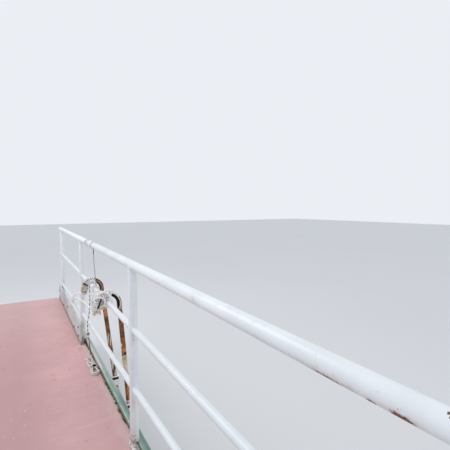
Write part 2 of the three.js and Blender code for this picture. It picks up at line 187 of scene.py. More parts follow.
class Finish:
    """A node material on Object coordinates: a base colour, and coats laid over it by masks."""

    def __init__(self, name, specular):
        self.material = bpy.data.materials.new(name)
        self.material.use_nodes = True
        self.tree = self.material.node_tree
        self.shader = self.tree.nodes["Principled BSDF"]
        self.shader.inputs["Specular IOR Level"].default_value = specular
        self.place = self.tree.nodes.new("ShaderNodeTexCoord").outputs["Object"]
        self.base = None

    def feed(self, socket, value):
        """Links a socket to another's output, or sets it to a number, place or colour."""
        if isinstance(value, bpy.types.NodeSocket):
            self.tree.links.new(value, socket)
        else:
            socket.default_value = (*value, 1.0) if socket.type == "RGBA" else value

    def add(self, kind, inputs, output=0, **settings):
        """Adds a node with its inputs and settings, and gives one of its outputs."""
        node = self.tree.nodes.new(kind)
        for key, value in settings.items():
            setattr(node, key, value)
        for key, value in inputs.items():
            self.feed(node.inputs[key], value)
        return node.outputs[output]

    def mapped(self, stretch=(1, 1, 1), shift=(0, 0, 0)):
        """The place, scaled each way and shifted, so that two patterns of one size differ."""
        return self.add("ShaderNodeMapping", {"Vector": self.place, "Scale": stretch, "Location": shift})

    def noise(self, scale, detail, rough=0.6, warp=0.0, **how):
        return self.add("ShaderNodeTexNoise", {
            "Vector": self.mapped(**how), "Scale": scale, "Detail": detail, "Roughness": rough,
            "Distortion": warp})

    def blotches(self, scale, detail, low, high, rough=0.6, **how):
        """Patches with soft rims, cut from a noise between two of its values."""
        return self.step(self.noise(scale, detail, rough, **how), low, high)

    def cells(self, scale, **how):
        return self.add("ShaderNodeTexVoronoi", {"Vector": self.mapped(**how), "Scale": scale})

    def step(self, value, low, high, start=0.0, end=1.0):
        """Eases from start to end while a value goes from low to high, where low may be the larger."""
        return self.add("ShaderNodeMapRange", {
            "Value": value, "From Min": low, "From Max": high, "To Min": start, "To Max": end},
            interpolation_type="SMOOTHSTEP")

    def between(self, value, low, high, edge):
        """Where a value lies between two others, with soft edges."""
        return self.both(self.step(value, low - edge, low + edge), self.step(value, high + edge, high - edge))

    def maths(self, how, *values):
        return self.add("ShaderNodeMath", dict(enumerate(values)), operation=how)

    def both(self, a, b):
        return self.maths("MULTIPLY", a, b)

    def either(self, *masks):
        """The strongest of several masks."""
        total = masks[0]
        for mask in masks[1:]:
            total = self.maths("MAXIMUM", total, mask)
        return total

    def vectors(self, how, *values, output=0):
        return self.add("ShaderNodeVectorMath", dict(enumerate(values)), output, operation=how)

    def axis(self, name):
        return self.add("ShaderNodeSeparateXYZ", {"Vector": self.place}, output="XYZ".index(name))

    def downward(self):
        """Where the surface faces down."""
        normal = self.tree.nodes.new("ShaderNodeNewGeometry").outputs["Normal"]
        return self.step(self.add("ShaderNodeSeparateXYZ", {"Vector": normal}, output=2), -0.2, -0.9)

    def wavy(self, axis, amount, *noise, **how):
        """A coordinate pushed to and fro by a noise, so that an edge along it is ragged."""
        return self.maths("MULTIPLY_ADD", self.noise(*noise, **how), amount, self.axis(axis))

    def ring(self, centre):
        """Distance from an axis that runs along the boat."""
        flat = self.vectors("MULTIPLY", self.vectors("SUBTRACT", self.place, centre), (1, 0, 1))
        return self.vectors("LENGTH", flat, output=1)

    def patch(self, centre, reach, ragged, scale, edge=0.25):
        """A mask round one place, with its reach each way, how ragged its rim is and how soft."""
        scaled = self.vectors("DIVIDE", self.vectors("SUBTRACT", self.place, centre), reach)
        rags = self.maths("MULTIPLY_ADD", self.noise(scale, 4.0), ragged * 2, -ragged)
        return self.step(self.maths("ADD", self.vectors("LENGTH", scaled, output=1), rags), 1.0, 1.0 - edge)

    def patches(self, *rows):
        return self.either(*(self.patch(*row) for row in rows))

    def mix(self, mask, colour, other):
        return self.add("ShaderNodeMix", {0: mask, 6: colour, 7: other}, output=2, data_type="RGBA")

    def coat(self, mask, colour, amount=1.0):
        """Lays a colour over the base, as strongly as the mask and the amount say."""
        self.base = self.mix(mask if amount == 1.0 else self.both(mask, amount), self.base, colour)

    def relief(self, *layers):
        """Heights added up, each a pattern with how far it stands out."""
        total, *others = (self.both(pattern, amount) for pattern, amount in layers)
        for layer in others:
            total = self.maths("ADD", total, layer)
        return total

    def done(self, rough, height=None, depth=0.001, strength=1.0):
        """Gives the shader its colour, roughness and relief, and hands over the material."""
        self.feed(self.shader.inputs["Base Color"], self.base)
        self.feed(self.shader.inputs["Roughness"], rough)
        if height is not None:
            bump = self.add("ShaderNodeBump", {"Height": height, "Strength": strength, "Distance": depth})
            self.feed(self.shader.inputs["Normal"], bump)
        return self.material


def shade(colour, factor):
    """A colour made lighter or darker."""
    return tuple(min(1.0, c * factor) for c in colour[:3])


def amidships(f, start, full):
    """Where the paint is faded: from beside the ladder to short of the bow end."""
    return f.both(f.step(f.axis("Y"), start, full), f.step(f.axis("Y"), 2.0, 1.5))


def rusting_foot(f):
    """Where the coaming's foot rusts: everywhere but a short stretch beside the ladder."""
    return f.maths("SUBTRACT", 1.0, f.between(f.axis("Y"), 0.205, 0.385, 0.02))


def rail_finish(colour):
    """White gloss on pipe, yellowed and dirty here and there, rusting through in spots."""
    f = Finish("white_gloss_paint", 0.55)
    high = f.axis("Z")
    grime = f.blotches(22.0, 6.0, 0.56, 0.78, rough=0.7, stretch=(1, 0.45, 1), shift=(3, 1, 2))
    f.base = f.mix(f.blotches(6.0, 4.0, 0.35, 0.7), colour, shade(colour, 0.93))
    f.coat(grime, (0.50, 0.49, 0.43), 0.55)
    # Painted shade: the faces that look down are tinted blue-grey, as a reflection of the water below
    f.coat(f.downward(), (0.46, 0.50, 0.55), 0.18)
    # Greyer on the bars below the top rail, by height
    f.coat(f.step(high, TOP_Z - 0.06, MID_Z - 0.02), (0.62, 0.68, 0.70), 0.30)
    f.coat(f.step(high, MID_Z - 0.10, LOW_Z), (0.58, 0.62, 0.62), 0.08)
    # Painted shadow on the forward rail's top, just beside the collar
    collar_shadow = f.between(f.wavy("Y", 0.02, 60.0, 4.0), SLEEVE_Y + 0.030, SLEEVE_Y + 0.095, 0.008)
    f.coat(f.both(collar_shadow, f.step(high, TOP_Z - 0.05, TOP_Z - 0.03)), (0.24, 0.20, 0.19), 0.75)
    halo = f.patches(((0.886, -2.237, 1.098), (0.030, 0.105, 0.026), 0.9, 50.0, 0.9),
                     ((0.882, -2.384, 1.103), (0.016, 0.05, 0.016), 0.8, 70.0, 0.9))
    f.coat(halo, (0.55, 0.40, 0.27), 0.6)
    grain = f.noise(240.0, 5.0, 0.7)
    spots = f.both(f.blotches(48.0, 5.0, 0.675, 0.71, rough=0.65, shift=(7, 0, 4)),
                   f.blotches(5.0, 2.0, 0.47, 0.58, shift=(1, 9, 0)))
    scab = f.either(spots, f.patches(
        ((0.886, -2.237, 1.094), (0.022, 0.062, 0.016), 0.75, 90.0, 0.5),
        ((0.884, -2.330, 1.100), (0.012, 0.014, 0.010), 0.5, 140.0, 0.5),
        ((0.880, -2.384, 1.103), (0.012, 0.026, 0.010), 0.7, 110.0, 0.5),
        ((0.905, 1.52, 1.097), (0.020, 0.07, 0.014), 0.8, 90.0, 0.5)))
    f.coat(scab, f.mix(f.step(grain, 0.4, 0.62), (0.10, 0.045, 0.025), (0.34, 0.15, 0.06)))
    rough = f.step(f.either(scab, f.both(grime, 0.5)), 0.0, 1.0, 0.30, 0.85)
    brush = f.noise(90.0, 3.0, stretch=(1, 0.05, 1))
    return f.done(rough, f.relief((brush, 0.16), (f.both(scab, grain), -1.2)), 0.0012, 0.7)


def post_finish(colour):
    """The same paint on the posts, with rust and drips near the foot and at the crossings."""
    f = Finish("white_post_paint", 0.55)
    low = f.step(f.wavy("Z", 0.09, 26.0, 4.0), DECK + 0.16, DECK + 0.045)
    f.base = f.mix(f.blotches(8.0, 4.0, 0.35, 0.7), colour, shade(colour, 0.90))
    f.coat(f.blotches(70.0, 5.0, 0.52, 0.72, rough=0.65, stretch=(1, 1, 0.06)), (0.47, 0.46, 0.40), 0.34)
    crossings = f.either(*(f.both(f.step(f.axis("Z"), height + 0.008, height - 0.004),
                                  f.step(f.axis("Z"), height - 0.11, height - 0.01))
                           for height in (MID_Z, LOW_Z)))
    drips = f.both(crossings, f.blotches(60.0, 4.0, 0.50, 0.66, stretch=(1, 1, 0.12), shift=(4, 4, 4)))
    f.coat(drips, (0.56, 0.36, 0.20), 0.5)
    f.coat(low, (0.56, 0.45, 0.36), 0.35)
    grain = f.noise(210.0, 5.0, 0.7)
    scab = f.either(f.both(low, f.blotches(55.0, 5.0, 0.50, 0.57, rough=0.65, shift=(5, 3, 1))),
                    f.blotches(64.0, 5.0, 0.71, 0.74, rough=0.65, shift=(2, 8, 3)))
    f.coat(scab, f.mix(f.step(grain, 0.4, 0.62), (0.11, 0.05, 0.03), (0.38, 0.18, 0.08)))
    rough = f.step(f.either(scab, f.both(low, 0.5)), 0.0, 1.0, 0.32, 0.85)
    brush = f.noise(110.0, 3.0, stretch=(1, 1, 0.2))
    return f.done(rough, f.relief((brush, 0.2), (f.both(scab, grain), -1.2)), 0.0012, 0.7)


def collar_finish():
    """Chalky off-white paint on the collar, with a painted shadow line in its forward rim, and dark along its
    top.
    """
    f = Finish("chalky_collar_paint", 0.35)
    f.base = f.mix(f.blotches(40.0, 5.0, 0.35, 0.7), (0.86, 0.81, 0.83), (0.76, 0.71, 0.73))
    # Painted shadow line in the forward rim; the top is darkened in blotches
    rim = f.step(f.wavy("Y", 0.004, 90.0, 4.0), SLEEVE_Y + 0.008, SLEEVE_Y + 0.016)
    crown = f.both(f.step(f.axis("Z"), TOP_Z + 0.0275, TOP_Z + 0.0290), f.blotches(70.0, 4.0, 0.35, 0.6))
    f.coat(f.either(rim, crown), (0.20, 0.17, 0.16), 0.8)
    f.coat(f.blotches(120.0, 4.0, 0.66, 0.70, shift=(3, 1, 5)), (0.30, 0.20, 0.15))
    return f.done(0.62, f.noise(150.0, 4.0), 0.0006, 0.6)


def deck_finish(colour, dust):
    """Matt red deck paint: sun-bleached clouds, a dusty band along the coaming, scuffs and pale specks, with
    painted shade aft and inboard, a painted sheen forward and a painted shadow off the toe board's end.
    """
    f = Finish("worn_red_deck_paint", 0.35)
    across, along = f.axis("X"), f.axis("Y")
    clouds = f.blotches(1.7, 5.0, 0.35, 0.68, rough=0.55, stretch=(1, 0.6, 1))
    f.base = f.mix(clouds, shade(colour, 1.07), shade(colour, 0.90))
    f.coat(f.blotches(5.5, 6.0, 0.38, 0.68, rough=0.65, shift=(2, 5, 0)), (0.50, 0.30, 0.31), 0.35)
    wipes = f.blotches(9.0, 5.0, 0.50, 0.74, stretch=(0.25, 2.6, 1), shift=(1, 1, 0))
    f.coat(wipes, shade(colour, 1.25), 0.25)
    # Painted shade: darker aft and inboard
    aft_inboard_shade = f.both(f.step(along, -0.6, -2.5), f.step(across, 0.95, 0.45))
    f.coat(aft_inboard_shade, shade(colour, 0.80), 0.55)
    # Painted shade: darker towards the inboard side
    f.coat(f.step(f.wavy("X", 0.16, 2.2, 4.0, shift=(5, 2, 0)), 0.74, 0.44), shade(colour, 0.78))
    # Painted sheen: lighter towards the bow
    f.coat(f.step(along, 0.2, 2.6), (0.66, 0.47, 0.45), 0.30)
    ragged = f.wavy("X", 0.16, 7.0, 6.0, 0.7, stretch=(1, 0.7, 1), shift=(0, 4, 2))
    f.coat(f.step(ragged, COAMING_IN - 0.0095, COAMING_IN + 0.0755), dust, 0.75)
    # A painted shadow off the toe board's near end and a scoured place, both by the coaming, and dirt
    # gathered on both sides of them
    f.coat(f.patch((0.845, 0.675, DECK), (0.032, 0.085, 0.02), 0.9, 22.0, 0.7), (0.36, 0.165, 0.17), 0.35)
    f.coat(f.patch((0.885, 0.035, DECK), (0.018, 0.075, 0.02), 0.4, 40.0, 0.6), (0.60, 0.245, 0.28), 0.6)
    litter = f.patches(((0.898, -0.275, DECK), (0.028, 0.20, 0.02), 0.8, 26.0, 0.5),
                       ((0.892, 0.585, DECK), (0.030, 0.17, 0.02), 0.6, 26.0, 0.5))
    litter = f.both(litter, f.blotches(60.0, 5.0, 0.34, 0.56, rough=0.7, shift=(2, 2, 2)))
    f.coat(litter, (0.54, 0.46, 0.40), 0.8)
    stains = f.blotches(13.0, 6.0, 0.60, 0.74, rough=0.7, stretch=(1, 0.8, 1), shift=(8, 2, 0))
    f.coat(stains, (0.28, 0.15, 0.14), 0.55)
    scuffs = f.both(f.blotches(38.0, 6.0, 0.66, 0.72, rough=0.7, stretch=(1, 0.8, 1), shift=(6, 6, 0)),
                    f.step(across, 0.45, 0.92, 0.15, 1.0))
    f.coat(scuffs, (0.62, 0.55, 0.49), 0.8)
    specks = f.both(f.step(f.cells(26.0), 0.10, 0.045), f.blotches(5.0, 2.0, 0.46, 0.60, shift=(9, 0, 0)))
    f.coat(specks, (0.80, 0.76, 0.74), 0.85)
    foot = f.wavy("X", 0.055, 34.0, 5.0, 0.7, stretch=(1, 0.5, 1), shift=(0, 3, 8))
    rusty = f.both(f.step(foot, COAMING_IN + 0.0135, COAMING_IN + 0.0235),
                   f.blotches(9.0, 4.0, 0.40, 0.56, shift=(0, 7, 0)))
    rust = f.mix(f.blotches(170.0, 4.0, 0.4, 0.6), (0.055, 0.032, 0.022), (0.27, 0.12, 0.055))
    f.coat(f.both(rusty, rusting_foot(f)), rust)
    primer = f.mix(f.blotches(14.0, 5.0, 0.42, 0.6), (0.33, 0.34, 0.34), (0.30, 0.16, 0.08))
    f.coat(f.step(f.axis("Z"), DECK - 0.0035, DECK - 0.005), primer)
    rough = f.step(f.noise(4.0, 4.0, shift=(3, 3, 3)), 0.3, 0.7, 0.52, 0.74)
    height = f.relief((f.noise(120.0, 5.0, 0.65), 0.35), (scuffs, -0.5), (f.noise(11.0, 3.0), 0.9))
    return f.done(rough, height, 0.0012, 0.55)


def coaming_finish(colour):
    """Sea-green paint, grey amidships, with painted shade and grime on its inner face, a painted highlight
    along its inner top edge, and rusty at its foot.
    """
    f = Finish("sea_green_edge_paint", 0.45)
    across, high = f.axis("X"), f.axis("Z")
    f.base = f.mix(f.blotches(5.0, 5.0, 0.35, 0.68, stretch=(1, 0.5, 1)), colour, shade(colour, 0.78))
    chalk = f.blotches(16.0, 6.0, 0.46, 0.66, rough=0.7, stretch=(1, 0.35, 1), shift=(4, 0, 4))
    f.coat(chalk, (0.46, 0.52, 0.47), 0.40)
    f.coat(amidships(f, -0.04, 0.18), f.mix(chalk, (0.46, 0.50, 0.48), (0.56, 0.58, 0.55)), 0.92)
    # Painted shade, with some grime, on the inner face below its top
    inner_face_shade_and_grime = f.both(f.step(across, COAMING_IN + 0.003, COAMING_IN + 0.0006),
                   f.step(high, COAMING_TOP - 0.003, COAMING_TOP - 0.010))
    f.coat(f.both(inner_face_shade_and_grime, rusting_foot(f)), (0.15, 0.19, 0.16), 0.55)
    # Painted highlight along the inner top edge
    edge_highlight = f.both(f.step(high, COAMING_TOP - 0.006, COAMING_TOP - 0.001),
                    f.blotches(42.0, 5.0, 0.36, 0.58, rough=0.7, stretch=(1, 0.2, 1)))
    f.coat(f.both(edge_highlight, f.step(across, COAMING_IN + 0.007, COAMING_IN + 0.001)), (0.66, 0.70, 0.65), 0.80)
    ragged = f.wavy("Z", -0.052, 17.0, 6.0, 0.7, stretch=(1, 0.8, 1), shift=(0, 2, 0))
    rusty = f.both(f.step(ragged, DECK - 0.014, DECK - 0.024),
                   f.step(across, COAMING_IN + 0.0115, COAMING_IN + 0.0055))
    flakes = f.either(f.blotches(60.0, 5.0, 0.67, 0.70, rough=0.7, stretch=(1, 0.5, 1), shift=(1, 2, 3)),
                      f.patch((0.914, 0.800, DECK + 0.008), (0.012, 0.115, 0.026), 0.35, 30.0, 0.3))
    scab = f.either(f.both(rusty, rusting_foot(f)), flakes)
    grain = f.noise(190.0, 5.0, 0.7)
    f.coat(scab, f.mix(f.step(grain, 0.42, 0.62), (0.035, 0.022, 0.018), (0.27, 0.115, 0.05)))
    height = f.relief((f.noise(60.0, 4.0), 0.3), (f.both(scab, grain), -1.5))
    return f.done(f.step(scab, 0, 1, 0.46, 0.9), height, 0.002, 0.8)


def hull_finish(colour, name, weathered=1.0, faded=None):
    """Hull paint with chalky patches, runs of rust from above and scrapes along the boat; faded amidships."""
    f = Finish(name, 0.4)
    f.base = f.mix(f.blotches(2.6, 5.0, 0.35, 0.68, stretch=(1, 0.6, 1.2)), colour, shade(colour, 0.76))
    if faded:
        f.coat(amidships(f, -0.46, -0.08), faded, 0.9)
    f.coat(f.blotches(13.0, 6.0, 0.48, 0.70, rough=0.7, stretch=(1, 0.4, 1)), shade(colour, 1.45), 0.45)
    runs = f.both(f.blotches(15.0, 5.0, 0.56, 0.72, rough=0.65, stretch=(1, 1, 0.05), shift=(0, 3, 1)),
                  f.blotches(3.2, 2.0, 0.40, 0.62, shift=(0, 6, 0)))
    f.coat(runs, (0.33, 0.17, 0.085), 0.55 * weathered)
    scrapes = f.both(f.blotches(34.0, 4.0, 0.62, 0.68, stretch=(1, 0.06, 2.4), shift=(2, 0, 5)), weathered)
    f.coat(scrapes, (0.17, 0.14, 0.12), 0.7)
    grain = f.noise(150.0, 5.0, 0.7)
    scab = f.both(f.blotches(21.0, 6.0, 0.655, 0.69, rough=0.7, shift=(5, 1, 2)), weathered)
    f.coat(scab, f.mix(f.step(grain, 0.4, 0.62), (0.07, 0.035, 0.022), (0.31, 0.14, 0.06)))
    height = f.relief((f.noise(9.0, 3.0), 1.2), (f.noise(90.0, 4.0), 0.3), (f.both(scab, grain), -1.4))
    return f.done(f.step(f.either(scab, scrapes), 0, 1, 0.5, 0.88), height, 0.0016, 0.7)


# What is left of the ladder's paint, the holes in it and its freshest rust, as rows for Finish.patches
PAINT_REMAINS = (
    ((0.817, 0.2325, 0.735), (0.03, 0.03, 0.022), 0.3, 60.0, 0.4),
    ((0.9865, -0.2475, 0.440), (0.010, 0.022, 0.022), 0.4, 70.0, 0.4),
    ((1.018, -0.2375, 0.262), (0.05, 0.06, 0.050), 0.45, 42.0, 0.35),
    ((1.046, -0.2475, 0.012), (0.04, 0.03, 0.018), 0.6, 60.0, 0.4),
    ((1.031, 0.2165, 0.115), (0.014, 0.022, 0.075), 0.5, 50.0, 0.4),
    ((1.049, 0.2165, 0.030), (0.011, 0.022, 0.034), 0.5, 60.0, 0.4),
    ((0.9985, 0.2165, 0.33), (0.006, 0.02, 0.06), 0.7, 50.0, 0.5),
    ((1.017, 0.2165, 0.31), (0.007, 0.02, 0.06), 0.7, 50.0, 0.5))
RUST_HOLES = (
    ((1.0145, -0.2545, 0.380), (0.009, 0.012, 0.012), 0.30, 90.0, 0.3),
    ((1.0425, 0.2155, 0.085), (0.0055, 0.014, 0.075), 0.35, 60.0, 0.3))
FRESH_RUST = (
    ((1.0105, -0.2375, 0.398), (0.05, 0.05, 0.028), 0.35, 60.0, 0.4),
    ((1.0420, -0.2375, 0.095), (0.026, 0.06, 0.085), 0.30, 60.0, 0.3),
    ((0.983, 0.2165, 0.560), (0.020, 0.03, 0.050), 0.5, 60.0, 0.4))

# Bands round each hook's bend: painted shade inside, a pale stripe, red rust outside, and where the stripe
# lies from the pipe's middle
HOOK_BANDS = {
    "near": ((0.016, 0.012, 0.010), (0.74, 0.73, 0.62), (0.27, 0.095, 0.06), 0.0015, 0.0085),
    "far": ((0.085, 0.035, 0.024), (0.72, 0.58, 0.50), (0.235, 0.088, 0.055), -0.0015, 0.0018),
}


def rust_finish(pale, dark):
    """Heavy scaling rust, orange over brown-black, with what is left of a cream paint."""
    f = Finish("scaling_rust", 0.25)
    grain = f.noise(170.0, 6.0, 0.7)
    big = f.noise(15.0, 5.0, 0.65, warp=0.4)
    f.base = f.mix(f.step(big, 0.38, 0.60), dark, pale)
    f.coat(f.blotches(52.0, 5.0, 0.50, 0.62, rough=0.7, shift=(3, 2, 1)), shade(pale, 1.4))
    f.coat(f.step(grain, 0.52, 0.72), (0.06, 0.03, 0.02), 0.75)
    pits = f.step(f.cells(75.0, shift=(1, 1, 1)), 0.26, 0.14)
    f.coat(f.both(pits, f.step(big, 0.62, 0.48)), (0.025, 0.015, 0.012))
    orange = f.mix(f.blotches(75.0, 5.0, 0.32, 0.52, rough=0.7, shift=(2, 0, 1)),
                   (0.17, 0.050, 0.022), (0.66, 0.28, 0.10))
    f.coat(f.patches(*FRESH_RUST), orange, 0.9)
    olive = f.mix(f.blotches(40.0, 4.0, 0.40, 0.62, shift=(1, 0, 2)), (0.66, 0.60, 0.42), (0.45, 0.38, 0.22))
    f.coat(f.patch((1.013, -0.2375, 0.330), (0.05, 0.06, 0.045), 0.35, 50.0, 0.35), olive)
    cream = f.mix(f.blotches(34.0, 4.0, 0.4, 0.65), (0.78, 0.70, 0.56), (0.58, 0.47, 0.33))
    spatter = f.blotches(26.0, 6.0, 0.655, 0.690, rough=0.7, shift=(9, 4, 2))
    paint = f.either(f.patches(*PAINT_REMAINS), spatter)
    f.coat(paint, cream)
    f.coat(f.patch((1.053, 0.060, -0.113), (0.06, 0.22, 0.05), 0.2, 30.0, 0.3), (0.60, 0.55, 0.56), 0.85)
    wobble = f.both(f.maths("ADD", f.noise(38.0, 5.0, 0.65, shift=(2, 2, 7)), -0.5), 0.012)
    for side, (inside, line, outside, low, high) in HOOK_BANDS.items():
        aft = 1 if side == "near" else -1
        bend = STRINGERS[side]["hook"]
        centre = ON_LADDER @ (on_hook(side, 90) - Vector((0, 0, bend)))
        own = f.both(f.step(f.axis("Y"), 0.02 * aft, -0.02 * aft),
                     f.step(f.axis("Z"), centre.z - 0.055, centre.z - 0.015))
        away = f.maths("ADD", f.ring(centre), wobble)
        if side == "near":
            crown = f.step(f.axis("Z"), centre.z + 0.040, centre.z + 0.060)
            away = f.maths("ADD", away, f.both(crown, -0.0035))
        red = f.step(away, bend + high - 0.0015, bend + high + 0.0015)
        if side == "near":
            red = f.both(red, f.step(crown, 0.9, 0.1))
            stripe = f.both(own, f.step(away, bend + low - 0.001, bend + low + 0.001))
        else:
            stripe = f.both(own, f.between(away, bend + low, bend + high, 0.001))
        # Painted shade on the inner side of the bend
        f.coat(f.both(own, f.step(away, bend + low + 0.001, bend + low - 0.001)), inside)
        f.coat(stripe, line)
        f.coat(f.both(own, red), outside, 0.85)
        if side == "far":
            early = f.step(f.axis("X"), centre.x + 0.034, centre.x + 0.020)
            f.coat(f.both(own, early), (0.022, 0.016, 0.013), 0.9)
        paint = f.either(paint, stripe)
    hole = f.patches(*RUST_HOLES)
    f.coat(hole, (0.012, 0.008, 0.007))
    height = f.relief((grain, 0.9), (f.both(paint, f.noise(40.0, 3.0)), 0.8), (f.either(pits, hole), -1.0))
    return f.done(f.step(paint, 0, 1, 0.92, 0.6), height, 0.0028, 1.0)


def rope_finish(colour, name, soiled, threads=420.0, sheen=0.15, dark_end=None, spotted=False):
    """Weathered laid rope: fine threads, dust in the lay and darker handling marks, or small dark spots."""
    size, high, dark = (75.0, 0.58, 0.16) if spotted else (24.0, 0.70, 0.50)
    f = Finish(name, 0.15)
    fine = f.noise(threads, 3.0)
    f.base = colour
    f.coat(f.blotches(size, 5.0, 0.50, high, rough=0.65), shade(colour, dark), soiled)
    f.base = f.mix(f.step(fine, 0.36, 0.60), shade(colour, 0.86), f.base)
    f.coat(f.blotches(threads * 1.6, 2.0, 0.60, 0.72, shift=(5, 5, 5)), shade(colour, 1.25), 0.4)
    if dark_end:
        f.coat(f.patch(dark_end, (0.02, 0.02, 0.022), 0.3, 90.0), (0.04, 0.04, 0.04))
    f.shader.inputs["Sheen Weight"].default_value = sheen
    f.shader.inputs["Sheen Roughness"].default_value = 0.6
    return f.done(0.95, fine, 0.0008, 0.9)


def two_tone_finish(name, dark, pale):
    """A cord of one dark and one pale strand, told apart by the tube's own UV map. It is soiled low down,
    nearly black just above the deck and bleached where it lies on it."""
    f = Finish(name, 0.15)
    around = f.add("ShaderNodeUVMap", {}, uv_map="UVMap")
    split = f.add("ShaderNodeSeparateXYZ", {"Vector": around}, output=1)
    high = f.wavy("Z", 0.03, 30.0, 3.0)
    soiled = f.step(high, DECK + 0.20, DECK + 0.14)
    tarred = f.step(high, DECK + 0.150, DECK + 0.130)
    bleached = f.either(f.step(high, DECK + 0.042, DECK + 0.032), f.step(f.axis("Y"), 0.452, 0.444))
    strands = []
    for clean, dusty, black, bare in ((dark, (0.30, 0.25, 0.15), (0.045, 0.042, 0.030), shade(pale, 0.80)),
                                      (pale, (0.44, 0.38, 0.25), (0.10, 0.09, 0.06), pale)):
        f.base = clean
        f.coat(soiled, dusty)
        f.coat(tarred, black)
        f.coat(bleached, bare)
        strands.append(f.base)
    f.base = f.mix(f.step(f.maths("PINGPONG", split, 0.5), 0.17, 0.23), *strands)
    fine = f.noise(500.0, 3.0)
    f.coat(f.step(fine, 0.45, 0.7), shade(pale, 0.6), 0.3)
    return f.done(0.95, fine, 0.0006, 0.8)


def plain_worn_finish(name, colour, rough, dirt, scale):
    """One colour, a little uneven, with dirt in patches that are duller than the rest."""
    f = Finish(name, 0.4)
    worn = f.blotches(scale, 6.0, 0.45, 0.68, rough=0.7)
    f.base = f.mix(f.noise(scale * 0.3, 3.0), shade(colour, 0.85), shade(colour, 1.12))
    f.coat(worn, dirt, 0.55)
    return f.done(f.step(worn, 0, 1, rough, min(1.0, rough + 0.25)), f.noise(scale * 6, 4.0), 0.0008, 0.6)


def board_finish(colour):
    """Grey paint on a plank, thin enough for the grain to show, with painted shade and dirt along its foot,
    and rusty specks.
    """
    f = Finish("weathered_board_paint", 0.3)
    grain = f.noise(60.0, 6.0, 0.65, stretch=(1, 0.05, 1), warp=0.6)
    rings = f.noise(240.0, 3.0, stretch=(1, 0.02, 1))
    f.base = f.mix(f.blotches(3.5, 5.0, 0.35, 0.66, stretch=(1, 0.5, 1)), colour, shade(colour, 0.72))
    f.coat(f.step(grain, 0.50, 0.70), (0.40, 0.36, 0.31), 0.6)
    # Painted shade and dirt along the foot
    f.coat(f.step(f.wavy("Z", -0.07, 20.0, 5.0, 0.7), DECK + 0.030, DECK - 0.01), (0.26, 0.19, 0.14), 0.7)
    f.coat(f.blotches(34.0, 5.0, 0.68, 0.71, rough=0.7, shift=(4, 4, 4)), (0.30, 0.25, 0.20))
    return f.done(0.78, f.relief((grain, 0.8), (rings, 0.3)), 0.0016, 0.8)


def pad_finish(colour):
    """White rubber, scuffed grey."""
    f = Finish("white_pad_rubber", 0.3)
    f.base = colour
    f.coat(f.blotches(70.0, 5.0, 0.50, 0.66, rough=0.7), (0.36, 0.34, 0.31), 0.5)
    return f.done(0.7, f.noise(180.0, 4.0), 0.0010, 0.7)


# Modelling, as by hand

def deselect():
    """Leaves edit mode and selects nothing."""
    if bpy.context.object and bpy.context.object.mode != "OBJECT":
        bpy.ops.object.mode_set(mode="OBJECT")
    bpy.ops.object.select_all(action="DESELECT")


def activate(piece):
    """Selects one piece and makes it the active one."""
    deselect()
    piece.select_set(True)
    bpy.context.view_layer.objects.active = piece


def edit(piece, kind="FACE"):
    """Opens a piece in edit mode with nothing selected."""
    activate(piece)
    bpy.ops.object.mode_set(mode="EDIT")
    bpy.ops.mesh.select_mode(type=kind)
    bpy.ops.mesh.select_all(action="DESELECT")


def pick(test, kind="faces"):
    """Selects, in edit mode, the faces, edges or points that pass the test and nothing else."""
    bpy.ops.mesh.select_all(action="DESELECT")
    mesh = bpy.context.object.data
    shape = bmesh.from_edit_mesh(mesh)
    for item in getattr(shape, kind):
        if test(item):
            item.select_set(True)
    shape.select_flush_mode()
    bmesh.update_edit_mesh(mesh)


def way(edge):
    """The direction of an edge."""
    return (edge.verts[1].co - edge.verts[0].co).normalized()


def settle(name, finish=None, smooth=None):
    """Names the active object, puts its place into its mesh and gives it its finish."""
    piece = bpy.context.object
    if piece.mode != "OBJECT":
        bpy.ops.object.mode_set(mode="OBJECT")
    activate(piece)
    bpy.ops.object.transform_apply(location=True, rotation=True, scale=True)
    piece.name = piece.data.name = name
    if finish:
        piece.data.materials.clear()
        piece.data.materials.append(finish)
    if smooth:
        bpy.ops.object.shade_smooth_by_angle(angle=math.radians(smooth))
    return piece


def divide(piece, cuts, straight=0.9):
    """Cuts the edges that run along the boat, so that there are points enough to roughen."""
    edit(piece, "EDGE")
    pick(lambda edge: abs(way(edge).y) > straight, "edges")
    bpy.ops.mesh.subdivide(number_cuts=cuts)
    bpy.ops.object.mode_set(mode="OBJECT")


def roughen(piece, size, strength, detail=2):
    """Raises and lowers the surface by a cloud pattern."""
    clouds = bpy.data.textures.new(piece.name + "_roughness", "CLOUDS")
    clouds.noise_scale, clouds.noise_depth = size, detail
    activate(piece)
    uneven = piece.modifiers.new("uneven", "DISPLACE")
    uneven.texture, uneven.texture_coords = clouds, "LOCAL"
    uneven.strength, uneven.mid_level = strength, 0.5
    bpy.ops.object.modifier_apply(modifier=uneven.name)


def join(pieces, name):
    """Makes one piece of several."""
    activate(pieces[0])
    for piece in pieces:
        piece.select_set(True)
    bpy.ops.object.join()
    return settle(name)


def scattered(pattern, name, rows):
    """Copies of a pattern, each with its size, turn and place, joined into one piece."""
    copies = []
    for size, turn, place in rows:
        activate(pattern)
        bpy.ops.object.duplicate(linked=False)
        copy = bpy.context.object
        copy.scale, copy.rotation_euler, copy.location = size, turn, place
        copies.append(copy)
    bpy.data.objects.remove(pattern)
    deselect()
    for copy in copies:
        copy.select_set(True)
    bpy.context.view_layer.objects.active = copies[0]
    bpy.ops.object.transform_apply(location=True, rotation=True, scale=True)
    return join(copies, name)


def fit(piece, body, slot, *nodes):
    """Says which body a piece rides on and which CAD nodes it stands for; the slot is not used."""
    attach(piece, body)
    if nodes:
        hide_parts(*nodes)
    return piece


